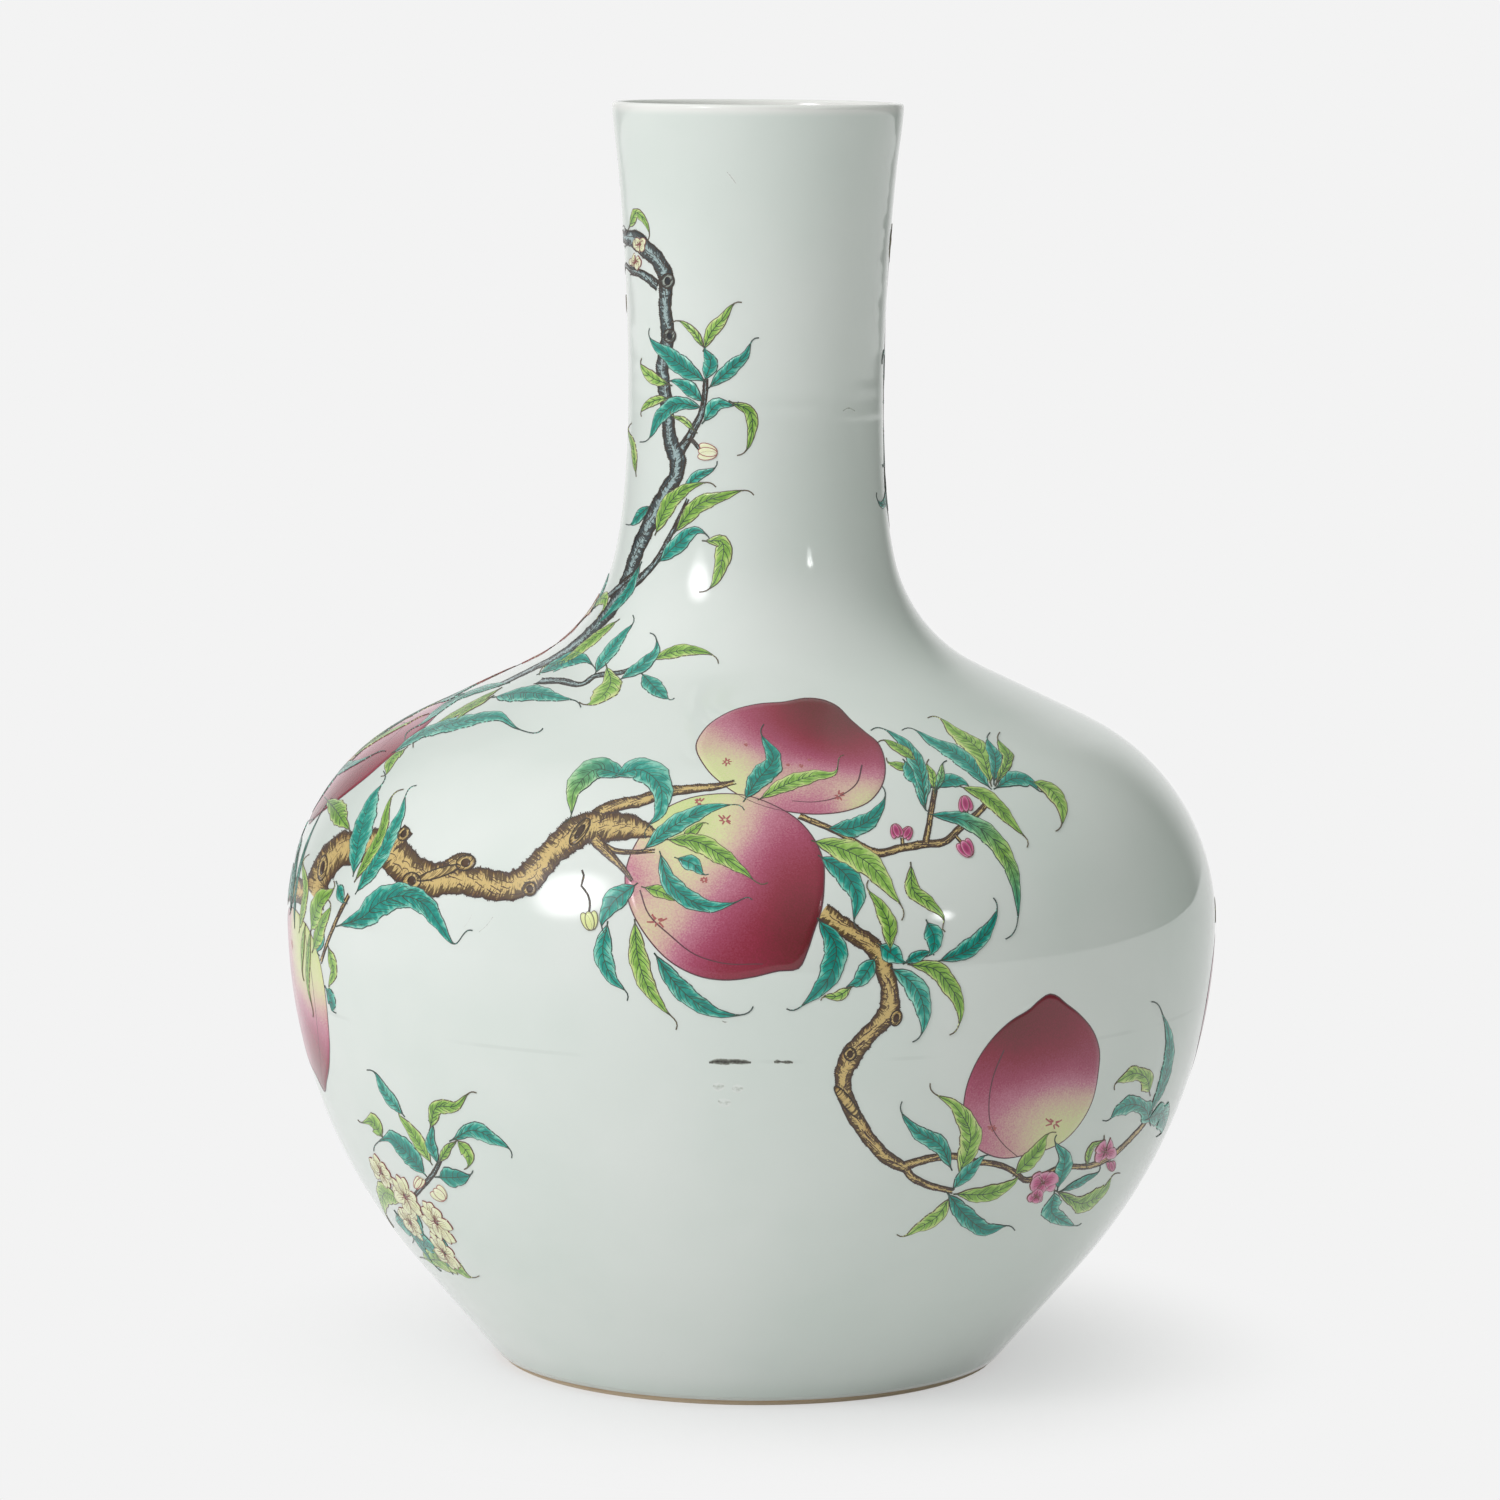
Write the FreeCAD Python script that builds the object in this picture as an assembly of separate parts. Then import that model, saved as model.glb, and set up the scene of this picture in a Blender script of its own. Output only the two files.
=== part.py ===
"""Tianqiuping vase: a globe body with a tall neck, thrown in three sections, luted and glazed.

Lengths are millimetres after firing. Z is the axis of the wheel and the foot rim stands on Z = 0.
Every piece is turned from a half section. A half section is an outline of tangent arcs, given by
the directions that its surface faces, so that glaze follows clay at an even thickness.
"""

import FreeCAD, Part
import math
import os

# Outside of the clay body, from the ground up
clay_height = 559.5
foot_radius = 111.0
foot_wall_length = 62.7
belly_height = 199.0
belly_radius = 206.5
shoulder_slope_degrees = 25.7
neck_joint_rise = 108.7
neck_joint_radius = 106.0
neck_waist_rise = 120.3
neck_waist_radius = 56.0
neck_lower_arc = 480.0
neck_lower_degrees = 5.5
neck_blend_arc = 194.0
neck_blend_degrees = 12.3
lip_flare_arc = 1080.0

# Wall of the clay body
wall_thickness = 7.5
lip_thickness = 2.2
base_thickness = 9.0
floor_corner_radius = 32.0

# Turned foot ring with its recess
foot_ring_width = 9.0
foot_recess_depth = 11.0
foot_ring_lean_degrees = 8.0
foot_recess_corner_radius = 5.0
foot_rim_inner_round = 2.2
foot_rim_outer_round = 1.2

# Luted seams: each is a sloping cut through the wall, filled with slip that beads inside
belly_seam_drop = 31.0
belly_seam_cut_degrees = 17.0
neck_seam_cut_degrees = 40.0
slip_thickness = 0.8
slip_bead_radius = 2.6

# Glaze
glaze_thickness = 0.5
glaze_lap_inside_lip = 18.0
bare_foot_height = 3.0
bare_recess_height = 4.0

# Reach of a cutting outline beyond the clay
overrun = 6.0

# Heights and facing directions that follow from the sizes above. The straight foot wall and the
# upright line at the widest ring cross at a corner that lies as far from one end of the belly's
# curve as from the other.
wall_run = foot_wall_length + belly_height
wall_spread = belly_radius - foot_radius
wall_corner_height = (wall_run**2 - wall_spread**2) / wall_run / 2
foot_wall_facing = -math.degrees(math.atan2(wall_spread, wall_corner_height))
shoulder_facing = 90 - shoulder_slope_degrees
neck_joint_height = belly_height + neck_joint_rise
neck_waist_height = neck_joint_height + neck_waist_rise
floor_height = foot_recess_depth + base_thickness


def point(radius, height):
    """Place in the half section."""
    return FreeCAD.Vector(radius, 0, height)


def facing(degrees):
    """Unit direction in the half section, turned up from the outward radius."""
    angle = math.radians(degrees)
    return point(math.cos(angle), math.sin(angle))


class Turn:
    """Arc of an outline, whose surface faces from first to last degrees. Its reach is the radius:
    above zero where the arc bulges into the air, and below zero where it is hollow."""

    def __init__(self, centre, reach, first, last):
        self.centre = centre
        self.reach = reach
        self.first = first
        self.last = last

    def at(self, degrees, cover=0):
        """Point that faces a direction, on top of a cover of some thickness."""
        return self.centre + facing(degrees) * (self.reach + cover)

    def start(self, cover=0):
        return self.at(self.first, cover)

    def end(self, cover=0):
        return self.at(self.last, cover)

    def edges(self, cover=0):
        middle = self.at((self.first + self.last) / 2, cover)
        return [Part.Arc(self.start(cover), middle, self.end(cover)).toShape()]

    def at_height(self, height):
        """Direction faced where the arc crosses a height, on the outside or inside of the vase."""
        up = math.degrees(math.asin((height - self.centre.z) / self.reach))
        return up if facing(self.first).x > 0 else 180 - up

    def reversed(self):
        return Turn(self.centre, self.reach, self.last, self.first)

    def inside(self):
        """The same arc on the inside of the wall, where an outline comes back the other way."""
        reach = wall_thickness - self.reach
        return Turn(self.centre, reach, self.last + 180, self.first + 180)


class Stop:
    """Point on a straight stretch of an outline, and the direction that the stretch faces."""

    def __init__(self, place, degrees):
        self.place = place
        self.degrees = degrees

    def start(self, cover=0):
        return self.place + facing(self.degrees) * cover

    def end(self, cover=0):
        return self.start(cover)

    def edges(self, cover=0):
        return []


def turn_from(start, first, reach, last):
    """Arc that leaves a point, facing first, and goes on until it faces last."""
    return Turn(start - facing(first) * reach, reach, first, last)


def turn_to_line(start, first, on_line, last):
    """Arc that leaves a point, facing first, and meets the line through on_line that faces last."""
    reach = (on_line - start).dot(facing(last)) / (1 - facing(first).dot(facing(last)))
    return turn_from(start, first, reach, last)


def rounded_corner(corner, reach, first, last):
    """Arc that rounds the corner between two lines, which face first and last."""
    size = 1 + facing(first).dot(facing(last))
    centre = corner - (facing(first) + facing(last)) * (reach / size)
    return Turn(centre, reach, first, last)


def on_line_at_height(on_line, degrees, height):
    """Where the line through on_line that faces some degrees crosses a height."""
    across = facing(degrees)
    return point(on_line.x - (height - on_line.z) * across.z / across.x, height)


def outline(items, cover=0):
    """Edges along a run of arcs and stops, with straight edges between those that lie apart."""
    edges = []
    for before, item in zip([None, *items], items):
        if before and not before.end(cover).isEqual(item.start(cover), Part.Precision.confusion()):
            edges.append(Part.makeLine(before.end(cover), item.start(cover)))
        edges.extend(item.edges(cover))
    return edges


def polygon_face(corners):
    return Part.Face(Part.makePolygon([*corners, corners[0]]))


def disc_face(centre, radius):
    circle = Part.makeCircle(radius, centre, FreeCAD.Vector(0, 1, 0))
    return Part.Face(Part.Wire([circle]))


def skin_face(items):
    """Half section of a glaze skin that lies on an outline and ends square to it."""
    first = Part.makeLine(items[0].start(), items[0].start(glaze_thickness))
    last = Part.makeLine(items[-1].end(glaze_thickness), items[-1].end())
    skin = outline(items, glaze_thickness)
    return Part.Face(Part.Wire([first, *skin, last, *reversed(outline(items))]))


def turned(face):
    """Solid that a half section sweeps round the axis of the wheel."""
    return face.revolve(FreeCAD.Vector(0, 0, 0), FreeCAD.Vector(0, 0, 1), 360)


def foot_turns():
    """Corner of the recess and the two edges of the foot rim, from the axis outwards."""
    ring_facing = 180 + foot_ring_lean_degrees
    rim_outer = point(foot_radius, 0)
    rim_inner = point(foot_radius - foot_ring_width, 0)
    recess = on_line_at_height(rim_inner, ring_facing, foot_recess_depth)
    return [
        rounded_corner(recess, -foot_recess_corner_radius, 270, ring_facing),
        rounded_corner(rim_inner, foot_rim_inner_round, ring_facing, 270),
        rounded_corner(rim_outer, foot_rim_outer_round, 270, 360 + foot_wall_facing),
    ]


def wall_turns():
    """Outside of the wall, from the foot up to the waist of the neck."""
    belly = point(belly_radius, belly_height)
    joint = point(neck_joint_radius, neck_joint_height)
    waist = point(neck_waist_radius, neck_waist_height)
    lower_belly = turn_to_line(belly, 0, point(foot_radius, 0), foot_wall_facing)
    shoulder = turn_to_line(belly, 0, joint, shoulder_facing)
    lower_neck = turn_from(waist, 0, -neck_lower_arc, neck_lower_degrees)
    blend = turn_from(lower_neck.end(), neck_lower_degrees, -neck_blend_arc, neck_blend_degrees)
    root = turn_to_line(blend.end(), neck_blend_degrees, joint, shoulder_facing)
    neck = [root.reversed(), blend.reversed(), lower_neck.reversed()]
    return [lower_belly.reversed(), shoulder, *neck]


def mouth_turns():
    """Flare outside the neck, the rounded lip, and the flare inside that thins the wall to it."""
    lip_radius = lip_thickness / 2
    rise = clay_height - lip_radius - neck_waist_height
    flare_centre = point(neck_waist_radius + lip_flare_arc, neck_waist_height)
    flare_facing = -math.degrees(math.asin(rise / (lip_flare_arc + lip_radius)))
    outer = Turn(flare_centre, -lip_flare_arc, 0, flare_facing)
    lip_centre = flare_centre - facing(flare_facing) * (lip_flare_arc + lip_radius)
    bore_waist = point(neck_waist_radius - wall_thickness, neck_waist_height)
    spread = lip_centre.x - bore_waist.x
    inner_arc = (spread**2 + rise**2 - lip_radius**2) / (spread - lip_radius) / 2
    inner_facing = 180 - math.degrees(math.asin(rise / (inner_arc - lip_radius)))
    lip = Turn(lip_centre, lip_radius, flare_facing, inner_facing)
    inner = turn_from(lip.end(), inner_facing, inner_arc, 180)
    return [outer, lip, inner]


def bore_turns():
    """Inside of the wall, from the waist of the neck down to the corner of the floor."""
    walls = [turn.inside() for turn in reversed(wall_turns())]
    low = walls[-1]
    corner = on_line_at_height(low.end(), low.last, floor_height)
    return [*walls, rounded_corner(corner, -floor_corner_radius, low.last, 90)]


def clay_face():
    """Half section of the whole fired body, before it is cut at the seams."""
    edges = outline([*foot_turns(), *wall_turns(), *mouth_turns(), *bore_turns()])
    floor = point(0, floor_height)
    recess = point(0, foot_recess_depth)
    first = edges[0].Vertexes[0].Point
    last = edges[-1].Vertexes[-1].Point
    closing = [Part.makeLine(last, floor), Part.makeLine(floor, recess), Part.makeLine(recess, first)]
    return Part.Face(Part.Wire([*edges, *closing]))


class Seam:
    """Sloping cut through the wall, from a point outside it. The cut runs down towards the axis."""

    def __init__(self, outside, wall_facing, cut_degrees):
        self.along = facing(cut_degrees)
        self.across = facing(cut_degrees + 90)
        self.outside = outside
        self.bead_centre = outside - self.along * (
            wall_thickness / self.along.dot(facing(wall_facing))
        )

    def cut(self, lift):
        """Broken line from far outside, through the wall and level to the axis."""
        middle = self.outside + self.across * lift
        outer = middle + self.along * overrun
        inner = self.bead_centre + self.across * lift - self.along * overrun
        return [point(2 * belly_radius, outer.z), outer, inner, point(0, inner.z)]

    def lower_cut(self):
        return self.cut(-slip_thickness / 2)

    def upper_cut(self):
        return self.cut(slip_thickness / 2)

    def bead(self, cover=0):
        return disc_face(self.bead_centre, slip_bead_radius + cover)


def belly_seam():
    """Seam between the lower bowl and the shoulder, just under the widest ring."""
    lower_belly = wall_turns()[0]
    degrees = lower_belly.at_height(belly_height - belly_seam_drop)
    return Seam(lower_belly.at(degrees), degrees, belly_seam_cut_degrees)


def neck_seam():
    """Seam where the flared root of the neck sits on the shoulder's opening."""
    joint = point(neck_joint_radius, neck_joint_height)
    return Seam(joint, shoulder_facing, neck_seam_cut_degrees)


def between(lower_line, upper_line):
    return polygon_face([*lower_line, *reversed(upper_line)])


def lower_bowl():
    """Lower half of the body with its base and the foot ring turned from it."""
    ground = [point(2 * belly_radius, -overrun), point(0, -overrun)]
    return turned(clay_face().common(between(ground, belly_seam().lower_cut())))


def shoulder_section():
    """Upper half of the body, from the belly seam to the opening that takes the neck."""
    return turned(clay_face().common(between(belly_seam().upper_cut(), neck_seam().lower_cut())))


def neck_section():
    """Neck with its flared root below and its rolled lip above."""
    sky = [point(2 * belly_radius, clay_height + overrun), point(0, clay_height + overrun)]
    return turned(clay_face().common(between(neck_seam().upper_cut(), sky)))


def slip_joint(seam):
    """Slip that fills a seam flush outside and stands as a wiped bead inside."""
    clay = clay_face()
    film = clay.common(between(seam.lower_cut(), seam.upper_cut()))
    bead = seam.bead().cut(clay)
    return turned(film).fuse(turned(bead)).removeSplitter()


def outer_glaze():
    """Glaze from the bare foot up the outside, over the lip and a little way down the bore."""
    foot_line = point(foot_radius, 0)
    edge = Stop(on_line_at_height(foot_line, foot_wall_facing, bare_foot_height), foot_wall_facing)
    outer, lip, inner = mouth_turns()
    lap = inner.at_height(clay_height - glaze_lap_inside_lip)
    lapped = Turn(inner.centre, inner.reach, inner.first, lap)
    return turned(skin_face([edge, *wall_turns(), outer, lip, lapped]))


def inner_glaze():
    """Glaze that lines the bore and the body, and covers the beads of slip."""
    inner = mouth_turns()[-1]
    lap = inner.at_height(clay_height - glaze_lap_inside_lip)
    below_lap = Turn(inner.centre, inner.reach, lap, inner.last)
    skin = skin_face([below_lap, *bore_turns(), Stop(point(0, floor_height), 90)])
    seams = [belly_seam(), neck_seam()]
    covered = skin.fuse([seam.bead(glaze_thickness) for seam in seams])
    return turned(covered.cut([clay_face(), *[seam.bead() for seam in seams]]).removeSplitter())


def base_glaze():
    """Glaze in the recess under the base, short of the bare foot rim."""
    corner = foot_turns()[0]
    edge = Stop(on_line_at_height(corner.end(), corner.last, bare_recess_height), corner.last)
    return turned(skin_face([Stop(point(0, foot_recess_depth), 270), corner, edge]))


def main():
    pieces = {
        "lower_bowl": lower_bowl(),
        "shoulder_section": shoulder_section(),
        "neck_section": neck_section(),
        "belly_slip_joint": slip_joint(belly_seam()),
        "neck_slip_joint": slip_joint(neck_seam()),
        "outer_glaze": outer_glaze(),
        "inner_glaze": inner_glaze(),
        "base_glaze": base_glaze(),
    }
    os.makedirs("parts", exist_ok=True)
    for node, shape in pieces.items():
        shape.exportStep(os.path.join("parts", node + ".step"))
        print(node, len(shape.Solids), shape.isValid(), round(shape.Volume))


main()
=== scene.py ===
"""Porcelain bottle vase, painted over the glaze with fruiting and flowering peach boughs.

The clay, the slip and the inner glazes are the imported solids. The outer glaze is turned again from
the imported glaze's own section, finely enough for its gloss, and the enamels lie on it as films.
The painting is laid out on pages. A page is the vase as the camera sees it, in pixels of a
1500 by 1500 picture, after the vase is turned some degrees about its axis.
"""

import bmesh
import bpy
import math
import numpy as np
from mathutils import Matrix, Vector
from mathutils.bvhtree import BVHTree


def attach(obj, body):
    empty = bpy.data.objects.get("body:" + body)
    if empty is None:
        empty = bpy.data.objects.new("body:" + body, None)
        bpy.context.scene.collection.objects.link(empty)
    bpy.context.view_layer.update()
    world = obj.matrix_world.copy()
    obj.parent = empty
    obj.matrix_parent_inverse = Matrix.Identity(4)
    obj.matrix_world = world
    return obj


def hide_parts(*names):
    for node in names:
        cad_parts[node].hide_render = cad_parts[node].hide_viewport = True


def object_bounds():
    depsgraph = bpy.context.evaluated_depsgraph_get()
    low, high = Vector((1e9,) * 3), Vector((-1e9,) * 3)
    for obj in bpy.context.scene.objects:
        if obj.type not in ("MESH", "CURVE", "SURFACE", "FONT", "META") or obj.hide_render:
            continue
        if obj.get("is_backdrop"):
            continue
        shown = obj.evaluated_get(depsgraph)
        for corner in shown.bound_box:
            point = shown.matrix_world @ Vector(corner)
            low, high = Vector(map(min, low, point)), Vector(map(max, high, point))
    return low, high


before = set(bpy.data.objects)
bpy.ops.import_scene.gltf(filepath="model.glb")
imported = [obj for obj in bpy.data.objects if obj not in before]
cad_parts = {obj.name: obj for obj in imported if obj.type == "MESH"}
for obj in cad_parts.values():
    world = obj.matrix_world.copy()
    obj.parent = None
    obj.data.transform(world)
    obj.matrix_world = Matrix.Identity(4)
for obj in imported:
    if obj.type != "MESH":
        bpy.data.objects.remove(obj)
CAD_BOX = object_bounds()

bl_info = {
    "name": "Peach Bough Bottle Vase",
    "version": (1, 0, 0),
    "blender": (4, 5, 0),
    "location": "3D View > Sidebar > Vase",
    "description": "Glazes a turned porcelain vase and paints peach boughs over the glaze",
    "category": "Object",
}

MM = 0.001
PAGE_SIZE = 1500
SENSOR_WIDTH = 36
FULL_TURN = 2 * math.pi

# Share of the way out from which a point of a sheet is on its edge.
RIM = 0.999

# Places of the inks on their ramp, which are also the values of the lines' ink mark.
VEIN_INK = 0.0
JADE_INK = 0.16
LIME_INK = 0.33
PEACH_INK = 0.5
SCAR_INK = 0.66
BARK_INK = 1.0


def paint(red, green, blue):
    """Colour of a swatch given in 0 to 255, as the linear numbers that shaders use."""
    parts = [part / 255 for part in (red, green, blue)]
    return tuple(part / 12.92 if part < 0.04045 else ((part + 0.055) / 1.055) ** 2.4 for part in parts)


def number(name, description, value, **kind):
    return bpy.props.FloatProperty(name=name, description=description, default=value, **kind)


def length(name, description, value):
    return number(name, description, value, unit="LENGTH", precision=5)


def swatch(name, description, *colour):
    return bpy.props.FloatVectorProperty(
        name=name, description=description, default=paint(*colour), subtype="COLOR", min=0, max=1
    )


class VaseSizes(bpy.types.PropertyGroup):
    turning_steps: bpy.props.IntProperty(
        name="Turning Steps", description="Facets of the outer glaze round the axis", default=320
    )
    ring_spacing: length("Ring Spacing", "Distance between rings of the outer glaze", 2.9 * MM)
    lip_spacing: length("Lip Spacing", "Distance between rings of the outer glaze at the lip", 0.3 * MM)
    foot_wash: length("Foot Wash", "Height up to which the glaze is thick at the foot", 16 * MM)
    # Painted highlight: above this height the glaze is painted whiter over the lip, for the light the
    # rounded lip catches.
    seam_height: length("Seam Height", "Height of the seam that the glaze pooled on", 168 * MM)
    # Painted light: inside the mouth, above the lap height and within the lap radius, the outer glaze is
    # painted whiter over the shade of the hollow.
    lap_height: length("Lap Height", "Height from which the glaze inside the mouth is whiter", 540.5 * MM)
    lap_radius: length("Lap Radius", "Radius within which glaze counts as inside the mouth", 60.5 * MM)
    lip_highlight_height: length("Lip Height", "Height from which the glaze thins on the lip", 554.5 * MM)
    film: length("Enamel Film", "Height of the lowest enamel over the glaze", 0.07 * MM)
    coat: length("Enamel Coat", "Rise of each coat of enamel over the one below", 0.035 * MM)
    mesh_spacing: length("Film Spacing", "Widest gap between points of an enamel film", 1.9 * MM)
    outline: length("Outline Width", "Width of the painted outlines", 0.52 * MM)
    vein: length("Vein Width", "Width of the painted leaf veins", 0.38 * MM)


class VaseColours(bpy.types.PropertyGroup):
    glaze: swatch("Glaze", "Thin pale glaze over porcelain", 222, 228, 223)
    glaze_pool: swatch("Glaze Pool", "Glaze where it runs thick", 206, 218, 210)
    # Painted light: whiter glaze for inside the mouth, where the hollow lies in shade.
    bore: swatch("Bore", "Outer glaze inside the mouth", 240, 241, 238)
    # Painted highlight: glaze painted near-white on the lip, for the light the rounded lip catches.
    lip: swatch("Lip", "Glaze drawn thin on the lip", 240, 240, 236)
    seam: swatch("Seam", "Glaze that pooled on the seam", 150, 160, 152)
    speck: swatch("Speck", "Iron specks in the glaze", 96, 82, 66)
    inside: swatch("Inside", "Glaze of the hollow and the base", 241, 242, 239)
    # Painted light: the hollow's glaze is painted whiter than the outer glaze, over the shade inside the
    # mouth; the base takes the same colours.
    inside_pool_painted_light: swatch("Inside Pool", "Thick glaze of the hollow and the base", 236, 238, 235)
    foot: swatch("Bare Foot", "Unglazed clay of the foot rim", 205, 188, 160)
    foot_grain: swatch("Foot Grain", "Pale grains in the clay", 230, 218, 196)
    foot_burn: swatch("Foot Burn", "Clay burnt at the glaze's edge", 176, 138, 98)
    slip: swatch("Slip", "Slip that joins the thrown sections", 214, 204, 184)
    slip_grain: swatch("Slip Grain", "Dark grains in the slip", 196, 182, 158)
    lime: swatch("Lime", "Yellow green leaf enamel", 152, 196, 92)
    lime_deep: swatch("Deep Lime", "Thick yellow green enamel", 108, 154, 58)
    lime_pale: swatch("Pale Lime", "Thin yellow green enamel", 214, 224, 152)
    jade: swatch("Jade", "Blue green leaf enamel", 38, 160, 142)
    jade_deep: swatch("Deep Jade", "Thick blue green enamel", 20, 122, 112)
    jade_pale: swatch("Pale Jade", "Thin blue green enamel", 150, 216, 196)
    bark: swatch("Bark", "Ochre enamel of the boughs", 160, 122, 68)
    bark_dark: swatch("Dark Bark", "Brown wash of the boughs", 84, 58, 36)
    bark_pale: swatch("Pale Bark", "Thin ochre wash of the boughs", 206, 180, 118)
    bark_hair: swatch("Bark Hair", "Brush hairs in the ochre bark", 62, 43, 28)
    lichen: swatch("Lichen", "Grey blue enamel of the old trunk", 80, 98, 102)
    lichen_dark: swatch("Dark Lichen", "Thick wash of the old trunk", 32, 40, 43)
    lichen_pale: swatch("Pale Lichen", "Thin wash of the old trunk", 158, 180, 180)
    lichen_hair: swatch("Lichen Hair", "Brush hairs in the grey bark", 30, 35, 38)
    petal: swatch("Petal", "White petal enamel", 250, 247, 238)
    petal_heart: swatch("Petal Heart", "Green of buds and of white petals' hearts", 214, 222, 148)
    petal_blush: swatch("Petal Blush", "Pale rose petal enamel", 226, 160, 188)
    petal_rose: swatch("Rose Petal", "Rose petal enamel", 196, 84, 134)
    petal_deep: swatch("Deep Petal", "Crimson heart of a rose petal", 150, 36, 92)
    ink_wash: swatch("Ink Wash", "Outlines where the ink runs thin", 120, 112, 100)


class VaseStage(bpy.types.PropertyGroup):
    camera_distance: length("Camera Distance", "From the vase's axis to the camera", 2.7)
    camera_height: length("Camera Height", "Height of the camera over the floor", 0.614)
    camera_aside: length("Camera Aside", "Camera's place to the right of the axis", -1.3 * MM)
    camera_pitch: number(
        "Camera Pitch", "How far the camera looks down", math.radians(7.21), subtype="ANGLE"
    )
    camera_roll: number(
        "Camera Roll", "How far the camera leans, counterclockwise", math.radians(0.45), subtype="ANGLE"
    )
    lens: number("Lens", "Focal length on a 36 mm wide sensor", 146.39, unit="CAMERA")
    key_power: number("Key Power", "Large soft light on the left", 37.0, unit="POWER")
    spark_power: number("Spark Power", "Small light that leaves the bright spots", 1.2, unit="POWER")
    sky: number("Room Light", "Strength of the light from all round", 0.62)
    overhead: number("Overhead Light", "Strength of the added light from above", 0.64)
    paper: swatch("Paper", "Colour of the floor and the backdrop", 243, 243, 243)


def sizes():
    return bpy.context.scene.vase_sizes


def colours():
    return bpy.context.scene.vase_colours


def coat(count):
    """Height over the glaze of a coat of enamel."""
    return sizes().film + count * sizes().coat


def unit_rows(rows):
    return rows / np.maximum(np.linalg.norm(rows, axis=1, keepdims=True), 1e-12)


def ray(angle):
    return np.array([math.cos(angle), math.sin(angle)])


def square_to(way):
    return np.array([-way[1], way[0]])


def run_of(points):
    """Length of the line through some points."""
    return np.linalg.norm(np.diff(points, axis=0), axis=1).sum()


def flowing(knots, count, trim=0):
    """Evenly spaced points on a smooth line through some knots, less a few at each end."""
    knots = np.asarray(knots, float)
    gaps = np.linalg.norm(np.diff(knots, axis=0), axis=1)
    marks = np.concatenate([[0.0], np.cumsum(gaps)])
    slopes = np.gradient(knots, marks, axis=0)
    spots = np.linspace(marks[trim], marks[len(marks) - 1 - trim], count)
    index = np.clip(np.searchsorted(marks, spots, side="right") - 1, 0, len(gaps) - 1)
    span = gaps[index][:, None]
    part = (spots - marks[index])[:, None] / span
    rest = 1 - part
    start = knots[index] * (1 + 2 * part) + slopes[index] * span * part
    end = knots[index + 1] * (1 + 2 * rest) - slopes[index + 1] * span * rest
    return start * rest**2 + end * part**2


def camera_matrix():
    stage = bpy.context.scene.vase_stage
    place = Vector((stage.camera_aside, -stage.camera_distance, stage.camera_height))
    tilt = Matrix.Rotation(math.pi / 2 - stage.camera_pitch, 4, "X")
    return Matrix.Translation(place) @ tilt @ Matrix.Rotation(stage.camera_roll, 4, "Z")


def page_scale():
    """Metres across one pixel of a page, at the vase's axis."""
    stage = bpy.context.scene.vase_stage
    return stage.camera_distance * SENSOR_WIDTH / stage.lens / PAGE_SIZE


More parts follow.
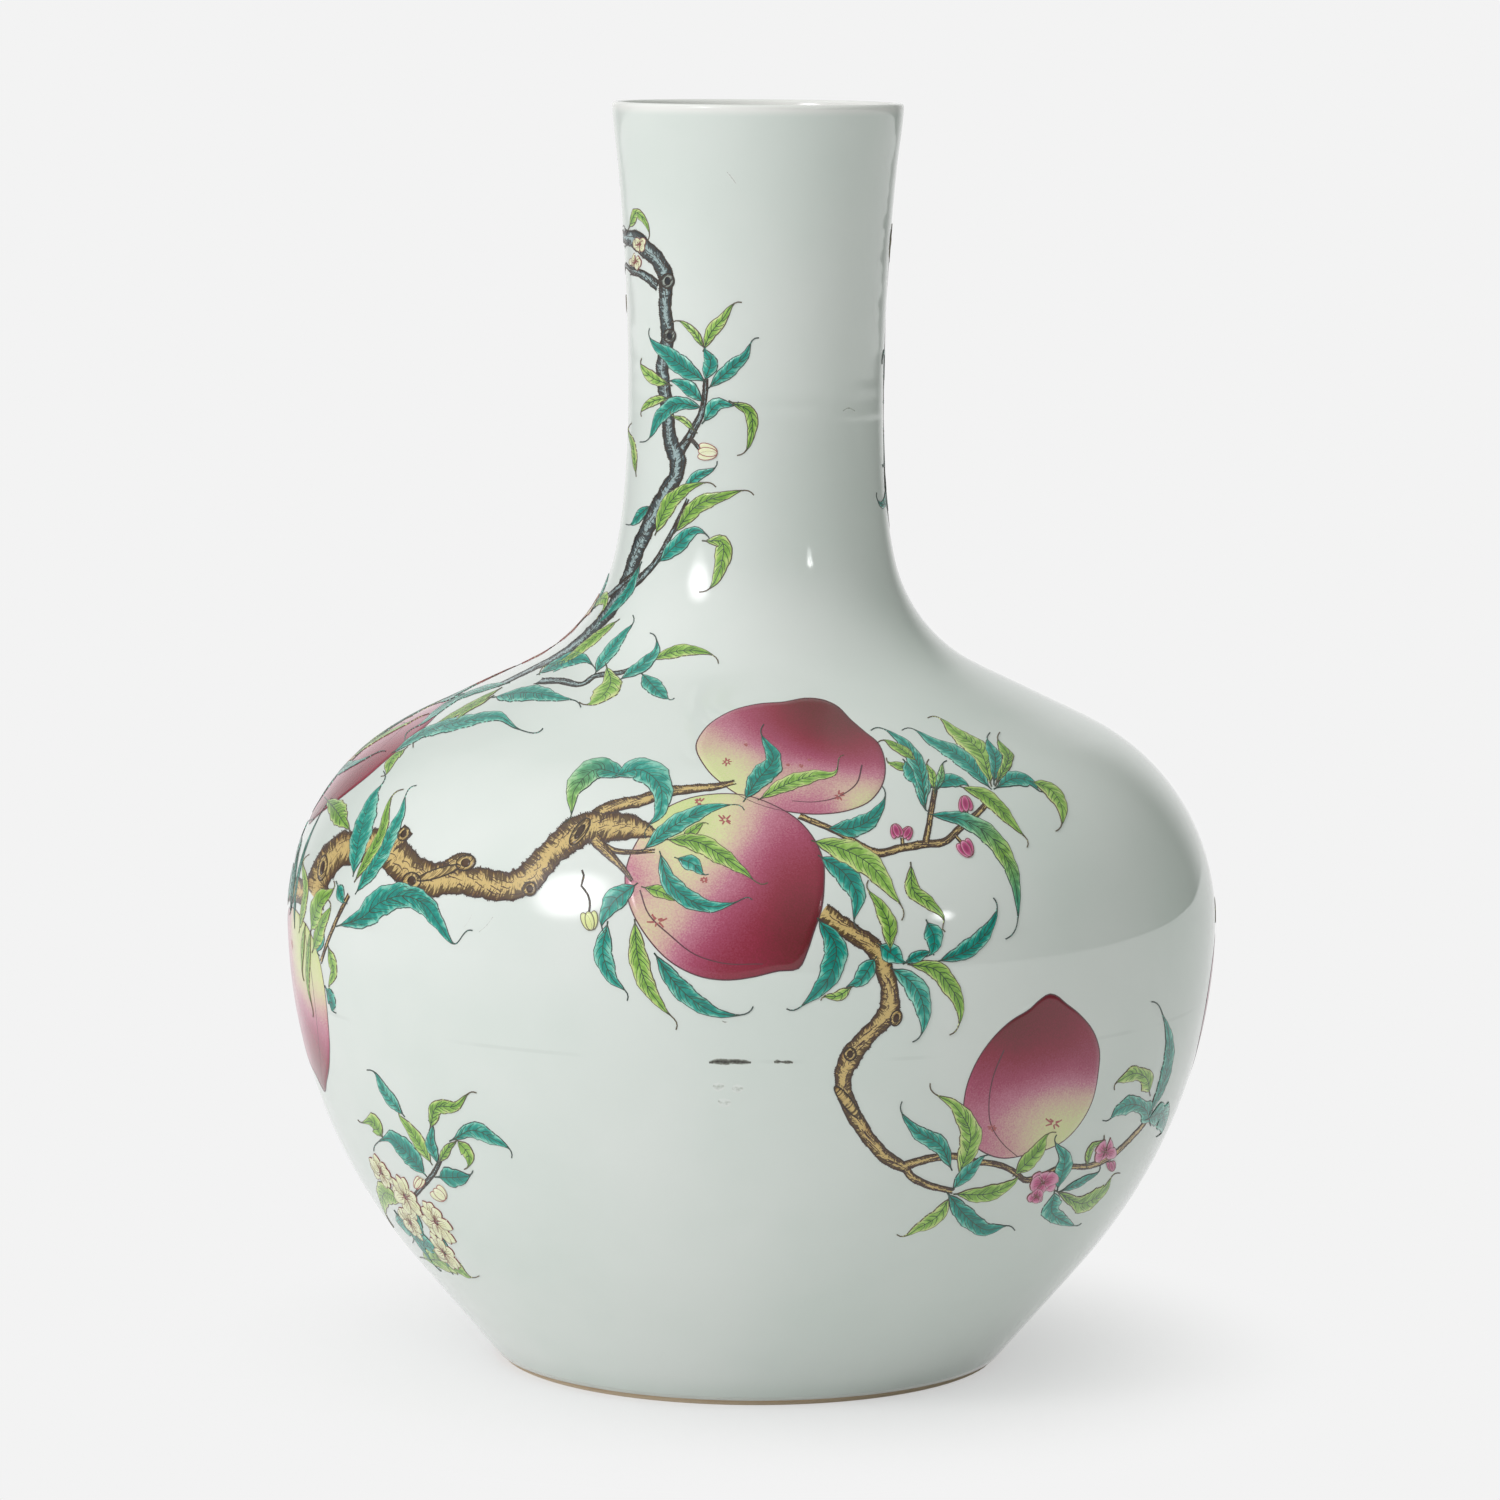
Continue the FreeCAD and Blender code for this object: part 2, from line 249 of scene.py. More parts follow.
class Wall:
    """Outside of the glaze: its section, and the places on it."""

    half_glaze = 0.25 * MM
    lip = 1.7 * MM
    samples = 1600

    # Above the first height the section's points are kept closer. Only above the second is there a bore.
    lip_zone = 0.55
    bore_zone = 0.5

    # A sight line is searched near the axis in steps, and the step that meets the glaze is halved.
    march = (-0.24, 0.08)
    march_steps = 160
    halvings = 18

    under = ("lower_bowl", "shoulder_section", "neck_section", "belly_slip_joint", "neck_slip_joint")

    def __init__(self):
        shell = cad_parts["outer_glaze"].data
        trees = [self.tree(node) for node in self.under]
        top = max((vertex.co.z, math.hypot(vertex.co.x, vertex.co.y)) for vertex in shell.vertices)
        heart = np.array([top[1], top[0] - self.lip])
        outer, round_lip, inner = set(), set(), set()
        places = {}
        for vertex in shell.vertices:
            radius, height = math.hypot(vertex.co.x, vertex.co.y), vertex.co.z
            places.setdefault((round(radius, 6), round(height, 6)), vertex)
        for (radius, height), vertex in places.items():
            lean_out = (vertex.normal.x * vertex.co.x + vertex.normal.y * vertex.co.y) / radius
            away = np.array([radius, height]) - heart
            if height > heart[1]:
                if away @ (lean_out, vertex.normal.z) > 0:
                    round_lip.add((math.atan2(away[1], away[0]), radius, height))
            elif min(tree.find_nearest(vertex.co)[3] for tree in trees) > self.half_glaze:
                outside = height < self.bore_zone or lean_out > 0
                (outer if outside else inner).add((height, radius))
        self.section = self.thinned(
            [(radius, height) for height, radius in sorted(outer)]
            + [(radius, height) for _, radius, height in sorted(round_lip)]
            + [(radius, height) for height, radius in sorted(inner, reverse=True)]
        )
        climb = self.section[:self.section[:, 1].argmax() + 1]
        smooth = flowing(climb, self.samples)
        self.heights = np.linspace(climb[0, 1], climb[-1, 1], self.samples)
        self.radii = np.interp(self.heights, smooth[:, 1], smooth[:, 0])
        self.leans = np.arctan2(-np.gradient(self.radii, self.heights), 1.0)

    def thinned(self, points):
        """Drops points that nearly repeat the one before them."""
        kept = [points[0]]
        for point in points[1:]:
            if math.dist(point, kept[-1]) > (self.lip / 10 if point[1] > self.lip_zone else self.lip):
                kept.append(point)
        return np.array(kept)

    @staticmethod
    def tree(node):
        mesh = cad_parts[node].data
        return BVHTree.FromPolygons(
            [vertex.co for vertex in mesh.vertices], [face.vertices for face in mesh.polygons]
        )

    def facing(self, points):
        """Turn about the axis, and the glaze's lean at the height, of some points."""
        turn = np.arctan2(points[:, 0], -points[:, 1])
        return turn, np.interp(points[:, 2], self.heights, self.leans)

    @staticmethod
    def placed(radius, turn, height):
        return np.stack([radius * np.sin(turn), -radius * np.cos(turn), height], 1)

    def settle(self, points, lift=0.0):
        """Moves points level on to the glaze, then lifts them off it."""
        turn, lean = self.facing(points)
        radius = np.interp(points[:, 2], self.heights, self.radii) + lift * np.cos(lean)
        return self.placed(radius, turn, points[:, 2] + lift * np.sin(lean))

    def outward(self, points):
        turn, lean = self.facing(points)
        return self.placed(np.cos(lean), turn, np.sin(lean))

    def clearance(self, points):
        radius = np.hypot(points[..., 0], points[..., 1])
        return radius - np.interp(points[..., 2], self.heights, self.radii)

    def seen(self, page, turn=0.0):
        """Places on the glaze that a page shows at its pixels."""
        stage = bpy.context.scene.vase_stage
        eye = camera_matrix()
        focal = stage.lens / SENSOR_WIDTH * PAGE_SIZE
        page = np.asarray(page, float)
        middle = PAGE_SIZE / 2
        rays = np.stack([page[:, 0] - middle, middle - page[:, 1], np.full(len(page), -focal)], 1)
        rays = unit_rows(rays) @ np.array(eye.to_3x3()).T
        start = np.array(eye.translation)
        marches = np.linspace(*(stage.camera_distance + end for end in self.march), self.march_steps)
        points = start + rays[:, None, :] * marches[None, :, None]
        depth = self.clearance(points)
        inside = depth < 0
        hit = inside.any(axis=1)
        first = np.where(hit, inside.argmax(axis=1), depth.argmin(axis=1))
        far = marches[first]
        near = marches[np.maximum(first - 1, 0)]
        for _ in range(self.halvings):
            half = (near + far) / 2
            outside = self.clearance(start + rays * half[:, None]) > 0
            near = np.where(outside & hit, half, near)
            far = np.where(outside & hit, far, half)
        far = np.where(hit, far, marches[first])
        spots = start + rays * far[:, None]
        swing = Matrix.Rotation(math.radians(turn), 3, "Z")
        return self.settle(spots @ np.array(swing).T)


WALL = []


def wall():
    """The glazed wall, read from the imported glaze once."""
    if not WALL:
        WALL.append(Wall())
    return WALL[0]


def piece_of(mesh, name, material):
    """Makes a piece that rides with the vase."""
    data = bpy.data.meshes.new(name)
    mesh.to_mesh(data)
    mesh.free()
    data.shade_smooth()
    data.materials.append(material)
    piece = bpy.data.objects.new(name, data)
    bpy.context.scene.collection.objects.link(piece)
    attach(piece, "root")
    return piece


def spin_chain(mesh, places, angle, steps):
    """Spins a chain of points round the upright axis."""
    spoke = [mesh.verts.new(place) for place in places]
    edges = [mesh.edges.new(pair) for pair in zip(spoke, spoke[1:])]
    bmesh.ops.spin(
        mesh, geom=spoke + edges, cent=(0, 0, 0), axis=(0, 0, 1), angle=angle, steps=steps,
        use_merge=True,
    )


class Film:
    """One piece of enamel, made of many small sheets that lie on the glaze."""

    sink = 0.03 * MM
    crest = 0.045 * MM
    skirt = 0.15 * MM
    merged = 0.002 * MM
    sliver = 0.0005 * MM

    def __init__(self, *marks):
        self.marks = marks
        self.parts = []
        self.start()

    def start(self):
        self.mesh = bmesh.new()
        self.layers = {mark: self.mesh.verts.layers.float.new(mark) for mark in self.marks}

    def keep(self):
        """Puts the mesh so far aside, because operators slow down as a mesh grows."""
        part = bpy.data.meshes.new("part")
        self.mesh.to_mesh(part)
        self.mesh.free()
        self.parts.append(part)
        self.start()

    def write(self, corners, spots, marks):
        for corner, spot in zip(corners, spots.tolist()):
            corner.co = spot
        for mark, values in marks.items():
            layer = self.layers[mark]
            for corner, value in zip(corners, np.broadcast_to(values, len(corners)).tolist()):
                corner[layer] = value

    def sheet(self, columns, rows, place):
        """Adds a grid. Its maker gets how far across, -1 to 1, and along, 0 to 1, each point is."""
        grid = bmesh.ops.create_grid(self.mesh, x_segments=columns, y_segments=rows, size=1.0)
        flat = np.array([corner.co[:2] for corner in grid["verts"]])
        self.write(grid["verts"], *place(flat[:, 0], (flat[:, 1] + 1) / 2))

    def disc(self, rings, steps, place):
        """Adds a round sheet. Its maker gets how far out, 0 to 1, and round, 0 to 1, each point is."""
        before = len(self.mesh.verts)
        spin_chain(self.mesh, [(ring / rings, 0, 0) for ring in range(rings + 1)], -FULL_TURN, steps)
        self.mesh.verts.ensure_lookup_table()
        corners = self.mesh.verts[before:]
        flat = np.array([corner.co[:2] for corner in corners])
        round_way = np.arctan2(-flat[:, 1], flat[:, 0]) / FULL_TURN % 1.0
        self.write(corners, *place(np.hypot(flat[:, 0], flat[:, 1]), round_way))

    def line(self, points, width, lift, ink, taper=0.0, sides=(True, True)):
        """Adds a fine ridge along some points. A side that isn't held up falls to the glaze."""
        points = np.asarray(points)
        along = unit_rows(np.gradient(points, axis=0))
        across = unit_rows(np.cross(along, wall().outward(points)))
        half = width / 2 * (1 - taper * np.linspace(0, 1, len(points)))
        foot = [lift if held else -self.sink for held in sides]

        def place(side, way):
            index = np.rint(way * (len(points) - 1)).astype(int)
            spots = points[index] + across[index] * (half[index] * side)[:, None]
            rise = np.where(side < -0.5, foot[0], np.where(side > 0.5, foot[1], lift + self.crest))
            return wall().settle(spots, rise), {"ink": ink}

        self.sheet(2, len(points) - 1, place)

    def finished(self, name, material):
        """Joins the parts to one piece, and turns each face away from the clay."""
        self.keep()
        whole = bmesh.new()
        for part in self.parts:
            whole.from_mesh(part)
            bpy.data.meshes.remove(part)
        bmesh.ops.remove_doubles(whole, verts=whole.verts, dist=self.merged)
        bmesh.ops.dissolve_degenerate(whole, edges=whole.edges, dist=self.sliver)
        whole.normal_update()
        faces = list(whole.faces)
        middles = np.array([face.calc_center_median() for face in faces])
        facing = (np.array([face.normal for face in faces]) * wall().outward(middles)).sum(1)
        wrong = [face for face, way in zip(faces, facing) if way < 0]
        bmesh.ops.reverse_faces(whole, faces=wrong)
        return piece_of(whole, name, material)


class Strap:
    """Long shape on the glaze about a flowing midline, with a half width on each side."""

    # The scale across is felt so many pixels to each side, and may grow so much towards the edge.
    feeler = 1.5
    steepest = 3.0
    bend_share = 0.9

    def __init__(self, knots, turn, width, samples):
        """The knots and the width are in pixels of a page. Knots may bring widths of their own."""
        rows = flowing(knots, samples)
        page = rows[:, :2]
        widths = rows[:, 2] if width is None else np.full(samples, float(width))
        self.middle = wall().seen(page, turn)
        heading = unit_rows(np.gradient(page, axis=0))
        beside = np.stack([-heading[:, 1], heading[:, 0]], 1) * self.feeler
        left, right = (wall().seen(page + beside * side, turn) for side in (-1, 1))
        scale = np.linalg.norm(right - left, axis=1) / (2 * self.feeler)
        scale = np.minimum(scale, self.steepest * page_scale())
        along = unit_rows(np.gradient(self.middle, axis=0))
        self.across = unit_rows(np.cross(along, wall().outward(self.middle)))
        self.half = np.stack([scale * widths / 2] * 2)
        self.parts = np.linspace(0, 1, samples)
        self.length = run_of(self.middle)
        bend = (np.gradient(along, axis=0) * self.across).sum(1) * samples / self.length
        self.room = [self.bend_share / np.maximum(side * bend, 1e-6) for side in (-1, 1)]

    def ease(self):
        """Keeps the sides within the bends, so that the shape doesn't fold over itself."""
        for side in (0, 1):
            self.half[side] = np.minimum(self.half[side], self.room[side])

    def mixed(self, rows, along):
        return np.stack([np.interp(along, self.parts, row) for row in rows.T], 1)

    def spots(self, across, along):
        """Points at shares of the half width across and of the length along."""
        across = np.asarray(across, float)
        along = np.broadcast_to(along, across.shape)
        left, right = (np.interp(along, self.parts, half) for half in self.half)
        reach = np.where(across < 0, left, right) * across
        return self.mixed(self.middle, along) + self.mixed(self.across, along) * reach[:, None]

    def fill(self, film, lift, marks, blunt=False):
        """Lays the enamel. The marks are made from the shares across and along."""
        spacing = sizes().mesh_spacing
        columns = 2 + 2 * max(1, math.ceil(self.half.max() / spacing))
        rows = max(4, math.ceil(self.length / spacing))

        def place(across, along):
            reach = np.clip(across * columns / (columns - 2), -1, 1)
            skirt = np.abs(across) > RIM
            if blunt:
                skirt = skirt | (along < 1 - RIM) | (along > RIM)
            push = (np.sign(across) * skirt * film.skirt)[:, None]
            spots = self.spots(reach, along) + self.mixed(self.across, along) * push
            return wall().settle(spots, np.where(skirt, -film.sink, lift)), marks(reach, along)

        film.sheet(columns, rows, place)

    def outline(self, lines, steps, width, lift, ink, taper=0.0):
        """Draws both long sides, each with its outer flank down to the glaze."""
        for side in (-1, 1):
            edge = self.spots(np.full(steps, side), np.linspace(0, 1, steps))
            lines.line(edge, width, lift, ink, taper, (side > 0, side < 0))


class Leaf(Strap):
    """Long peach leaf: a wavy blade with a midrib and side veins, drawn out to a curled tip."""

    samples = 72
    stem = 5.0
    curl = 2.4
    blade_end = 0.86
    thinnest = 0.13 * MM
    wave_run = 13 * MM
    waves = (0.07, 0.04)
    step = 1.7 * MM
    vein_gap = 6.4 * MM
    vein_zone = (0.05, 0.62)

    def __init__(self, colour, width, knots, turn, order):
        knots = np.array(knots, float)
        self.chance = np.random.default_rng(order)
        start = knots[0] + unit_rows(knots[:1] - knots[1:2])[0] * self.stem
        last = unit_rows(knots[-1:] - knots[-2:-1])[0]
        beside = square_to(last) * self.chance.choice((-1, 1))
        tip = knots[-1] + (last * 0.7 + beside) * self.curl
        super().__init__([start, *knots, tip], turn, width, self.samples)
        self.colour = colour
        self.order = order
        self.blade_start = self.stem / (self.stem + run_of(knots) + self.curl)
        part = (self.parts - self.blade_start) / (self.blade_end - self.blade_start)
        part = np.clip(part, 0, 1)
        full = np.sin(np.pi * part**0.78) ** 0.95
        count = max(1.5, self.length / self.wave_run)
        for side in (0, 1):
            phase, swell = self.chance.uniform(0, 2 * np.pi), self.chance.uniform(0.9, 1.12)
            ripple = 1 + self.waves[0] * np.sin(2 * np.pi * count * part + phase)
            ripple = ripple + self.waves[1] * np.sin(4.6 * np.pi * count * part + 2 * phase)
            self.half[side] = self.half[side] * full * ripple * swell
        self.ease()
        self.half = np.maximum(self.half, self.thinnest)

    def hue(self, along):
        """Blue green is 1 and yellow green is 0. Some leaves turn from one to the other."""
        hues = [1.0 if letter == "t" else 0.0 for letter in self.colour]
        return np.interp(along, np.linspace(0.15, 0.85, len(hues)), hues)

    def lay(self, film, lines, lift):
        shift = self.chance.uniform(-0.12, 0.12)

        def marks(across, along):
            tone = 0.2 + 0.8 * np.abs(across) ** 2.4 + shift
            run = along * self.length + self.order
            return {"hue": self.hue(along), "tone": tone, "run": run, "side": across}

        self.fill(film, lift, marks)
        steps = max(12, round(self.length / self.step))
        ink = LIME_INK if self.colour[0] == "y" else JADE_INK
        self.outline(lines, steps, sizes().outline, lift, ink, 0.3)
        self.draw_veins(lines, steps, lift)

    def draw_veins(self, lines, steps, lift):
        thin = sizes().vein
        rib = self.spots(np.zeros(steps), np.linspace(0.0, self.blade_end, steps))
        lines.line(rib, thin * 1.2, lift, VEIN_INK, 0.3)
        pairs = max(3, round(self.length / self.vein_gap))
        blade = self.blade_end - self.blade_start
        for start in np.linspace(*self.vein_zone, pairs):
            for side in (-1, 1):
                skew = self.chance.uniform(-0.03, 0.03)
                reach = np.linspace(0, self.chance.uniform(0.7, 0.92) * side, 5)
                rise = start + skew + (0.5 + np.abs(reach)) * np.abs(reach) * 0.13
                rise = self.blade_start + blade * np.clip(rise, 0, 1)
                lines.line(self.spots(reach, rise), thin, lift, VEIN_INK, 0.4)


def spray_leaves(turn, x, y, heading, count, reach, order):
    """Leaves that fan out from a twig's end, each bending more towards its tip."""
    chance = np.random.default_rng(700 + order)
    knot_count = 5
    for place in range(count):
        fan = (place + 0.5) / count - 0.5
        aim = math.radians(heading + 190 * fan + chance.uniform(-12, 12))
        bend = math.radians(chance.uniform(7, 20)) * (1 if chance.random() < 0.5 + fan else -1)
        step = reach * chance.uniform(0.75, 1.15) / knot_count
        knots = [np.array([x, y], float) - ray(aim) * 2]
        for part in range(knot_count):
            knots.append(knots[-1] + ray(aim) * step)
            aim += bend * (1 + 0.6 * part)
        yield (turn, ("t", "y", "t")[chance.integers(3)], reach * chance.uniform(0.17, 0.25), knots)


class Bough(Strap):
    """Limb with bark: a wash of enamel with rough edges, under many brush hairs."""

    rough = 0.05
    rough_paces = (0.23, 0.61, 1.17)
    twig = 0.9 * MM
    step = 2.2 * MM
    clump_run = 6 * MM
    grain_gap = 1.7 * MM

    def __init__(self, knots, turn, order, age):
        super().__init__(knots, turn, None, max(24, 9 * len(knots)))
        self.age = age
        self.order = order
        self.chance = np.random.default_rng(order)
        run = self.parts * self.length / MM
        for side in (0, 1):
            waves = sum(np.sin(run * pace + self.chance.uniform(0, 6.28)) for pace in self.rough_paces)
            self.half[side] = self.half[side] * (1 + self.rough * waves)
        self.ease()

    def lay(self, film, lines, lift):
        def marks(across, along):
            return {"age": self.age, "run": along * self.length + self.order, "side": across}

        self.fill(film, lift, marks, blunt=True)
        if self.half.max() > self.twig:
            self.draw_bark(lines, lift)
        steps = max(6, round(self.length / self.step))
        self.outline(lines, steps, sizes().outline * 1.15, lift, BARK_INK)

    def draw_bark(self, lines, lift):
        thin = sizes().vein * 1.25
        gap = (0.8 - 0.05 * self.age) * MM
        ink = 0.93 + 0.07 * self.age
        for start in np.arange(0, self.length, gap) / self.length:
            for side in (-1, 1):
                clump = 0.65 + 0.35 * math.sin(start * self.length / self.clump_run + 2 * side)
                depth = (0.2 + self.chance.beta(1.1, 2.2) * (1.0 + 0.3 * self.age)) * clump
                drift = self.chance.uniform(0.8, 3.2) * MM / self.length
                way = np.linspace(0, 1, 3)
                over = self.chance.uniform(1.0, 1.12)
                hair = self.spots(side * (over - depth * way), np.clip(start + drift * way**2, 0, 1))
                lines.line(hair, thin * self.chance.uniform(0.6, 1.5), lift, ink, 0.8)
        for _ in range(round(self.length / self.grain_gap)):
            place, start = self.chance.uniform(-0.7, 0.7), self.chance.uniform(0, 0.97)
            run = self.chance.uniform(2.5, 8) * MM / self.length
            way = np.linspace(0, 1, 5)
            grain = place + 0.1 * np.sin(way * 4 + start * 9)
            lines.line(self.spots(grain, np.clip(start + run * way, 0, 1)), thin, lift, ink, 0.5)


class Roundel:
    """Closed shape on the glaze, round a heart that sees its whole outline."""

    def __init__(self, outline, heart, turn):
        self.outline = np.asarray(outline, float)
        self.heart = np.asarray(heart, float)
        self.turn = turn

    def page(self, out, round_way):
        ways = np.linspace(0, 1, len(self.outline))
        rim = np.stack([np.interp(round_way, ways, row) for row in self.outline.T], 1)
        return self.heart + (rim - self.heart) * out[:, None]

    def fill(self, film, rings, steps, lift, marks):
        def place(out, round_way):
            reach = np.clip(out * rings / (rings - 1), 0, 1)
            page = self.page(reach, round_way)
            skirt = out > RIM
            spots = wall().seen(page, self.turn)
            heart = wall().seen(self.heart[None], self.turn)
            spots = spots + unit_rows(spots - heart) * (skirt * film.skirt)[:, None]
            return wall().settle(spots, np.where(skirt, -film.sink, lift)), marks(page, reach)

        film.disc(rings, steps, place)

    def rim(self, lines, count, width, lift, ink):
        spots = wall().seen(self.page(np.ones(count), np.linspace(0, 1, count)), self.turn)
        lines.line(spots, width, lift, ink)


def oval(middle, wide, tall, lean=0.0, count=25):
    ways = np.linspace(0, 2 * np.pi, count)
    along, aside = ray(math.radians(lean))
    across, up = np.cos(ways) * wide / 2, np.sin(ways) * tall / 2
    x = middle[0] + across * along - up * aside
    y = middle[1] + across * aside + up * along
    return np.stack([x, y], 1)


def ring_through(knots, count):
    knots = list(knots)
    return flowing([*knots[-2:], *knots, *knots[:3]], count, trim=2)


class Eye(Roundel):
    """Scar of a lost limb, with a dark heart unless it is long and narrow."""

    def __init__(self, turn, age, x, y, wide, tall, lean, order):
        super().__init__(oval((x, y), wide, tall, lean), (x, y), turn)
        self.age = age
        self.order = order
        self.core = None
        if tall < 3 * wide:
            self.core = Roundel(oval((x, y), wide * 0.46, tall * 0.54, lean), (x, y), turn)

    def lay(self, film, lines, lift):
        def marks(page, out):
            run = page.sum(1) * page_scale() + self.order
            return {"side": 0.3 + 0.5 * out**3, "run": run, "age": self.age * 0.8}

        self.fill(film, 4, 20, lift, marks)
        self.rim(lines, 25, sizes().outline * 1.2, lift, BARK_INK)
        if self.core:
            over = lift + sizes().coat
            dark = {"side": 1.4, "run": self.heart[0], "age": self.age}
            self.core.fill(film, 3, 18, over, lambda page, out: dark)
            self.core.rim(lines, 21, sizes().vein, over, BARK_INK)


class Peach(Roundel):
    """Peach with a stippled blush, a crease, and a few scars of its blossom."""

    soft = 21.0
    samples = 97
    scar_rays = 7
    scar_line = 1.0 * MM

    def __init__(self, peach):
        outline = ring_through(peach["outline"], self.samples)
        super().__init__(outline, peach["heart"], peach.get("turn", 0))
        self.peach = peach

    def blush(self, page):
        """Mixes the blushes that the table gives at some pixels, the nearest most."""
        places = np.array(self.peach["blush"], float)
        gaps = np.linalg.norm(page[:, None, :] - places[None, :, :2], axis=2)
        weights = np.exp(-((gaps / self.soft) ** 2) / 2) + 1e-9
        return (weights * places[:, 2]).sum(1) / weights.sum(1)

    def lay(self, film, lines, lift):
        self.fill(film, 14, self.samples - 1, lift, lambda page, out: {"blush": self.blush(page)})
        self.rim(lines, self.samples, sizes().outline * 1.1, lift, PEACH_INK)
        for crease in self.peach["creases"]:
            spots = wall().seen(flowing(crease, 24), self.turn)
            lines.line(spots, sizes().outline * 1.4, lift, PEACH_INK, 0.5)
        for x, y, size in self.peach["scars"]:
            self.draw_scar(lines, np.array((x, y)), size, lift)

    def draw_scar(self, lines, middle, size, lift):
        chance = np.random.default_rng(round(middle[0] * 7 + middle[1]))
        for turn in np.linspace(0, 2 * np.pi, self.scar_rays + 1)[:-1]:
            way = ray(turn + chance.uniform(-0.4, 0.4)) * (1.0, 0.8)
            bend = square_to(way) * chance.uniform(-0.35, 0.35)
            far = chance.uniform(0.6, 1.0) * size / 2
            knots = [middle + way * far * part + bend * far * part**2 for part in (0.25, 0.5, 0.8, 1.0)]
            spots = wall().seen(flowing(knots, 5), self.turn)
            lines.line(spots, self.scar_line, lift, SCAR_INK, 0.4)


class Petal(Strap):
    """Broad round petal."""

    samples = 24
    veins = (-0.35, 0.0, 0.35)

    def __init__(self, width, knots, turn, order):
        super().__init__(knots, turn, width, self.samples)
        chance = np.random.default_rng(order)
        full = np.sin(np.pi * self.parts**0.85) ** 0.55
        notch = 1 + 0.07 * np.sin(self.parts * 14 + chance.uniform(0, 6))
        self.half = self.half * full * notch

    def lay(self, film, lines, lift, heart, edge, ink):
        def marks(across, along):
            return {"tint": heart + (edge - heart) * np.maximum(np.abs(across), along) ** 1.5}

        self.fill(film, lift, marks)
        self.outline(lines, 12, sizes().vein * 0.9, lift, ink)
        for across in self.veins:
            vein = self.spots(np.full(4, across), np.linspace(0.1, 0.62, 4))
            lines.line(vein, sizes().vein * 0.7, lift, ink, 0.5)


class Flower:
    """Open blossom of broad petals about a heart of stamens."""

    stamens = 9
    tints = {"rose": (0.8, 0.36, 0.56), "white": (0.11, 0.15, 0.75)}

    def __init__(self, turn, x, y, size, petals, kind, order):
        self.turn = turn
        self.middle = np.array((x, y), float)
        self.size = size
        self.petals = petals
        self.kind = kind
        self.chance = np.random.default_rng(order)

    def lay(self, film, lines, lift):
        heart, edge, ink = self.tints[self.kind]
        spin = self.chance.uniform(0, 2 * np.pi)
        squash = np.array([1.0, self.chance.uniform(0.7, 0.95)])
        for petal in range(self.petals):
            angle = spin + 2 * np.pi * petal / self.petals + self.chance.uniform(-0.15, 0.15)
            way = ray(angle) * squash * self.size / 2
            way = way * self.chance.uniform(0.85, 1.1)
            bend = square_to(way) * self.chance.uniform(-0.15, 0.15)
            knots = [self.middle + way * 0.12, self.middle + way * 0.6 + bend, self.middle + way]
            width = self.size * 2.6 / max(5, self.petals)
            leaf = Petal(width, knots, self.turn, self.chance.integers(1 << 30))
            leaf.lay(film, lines, lift + (petal % 3) * sizes().coat, heart, edge, ink)
        for _ in range(self.stamens):
            angle, far = self.chance.uniform(0, 2 * np.pi), self.chance.uniform(0.12, 0.26)
            tip = self.middle + ray(angle) * far * self.size
            thread = wall().seen(flowing([self.middle, (self.middle + tip) / 2, tip], 4), self.turn)
            lines.line(thread, sizes().vein, lift + 3 * sizes().coat, ink)


class Bud:
    """Closed bud: three rounded petals pressed together, pointing away from their stalk."""

    slim = 0.46
    asides = (-0.19, 0.19, 0.0)
    tints = {"rose": (0.9, 0.4, 0.55), "white": (0.13, 0.16, 0.7), "green": (0.0, 0.1, LIME_INK)}

    def __init__(self, turn, x, y, size, heading, kind):
        self.turn = turn
        self.middle = np.array((x, y), float)
        self.size = size
        self.heading = heading
        self.kind = kind

    def lay(self, film, lines, lift):
        heart, edge, ink = self.tints[self.kind]
        beside = square_to(ray(math.radians(self.heading)))
        for count, aside in enumerate(self.asides):
            middle = self.middle + beside * aside * self.size
            outline = oval(middle, self.size, self.size * self.slim, self.heading - 80 * aside)
            petal = Roundel(outline, middle, self.turn)
            over = lift + count * sizes().coat
            petal.fill(film, 4, 20, over, lambda page, out: {"tint": heart + (edge - heart) * out**2})
            petal.rim(lines, 25, sizes().vein, over, ink)


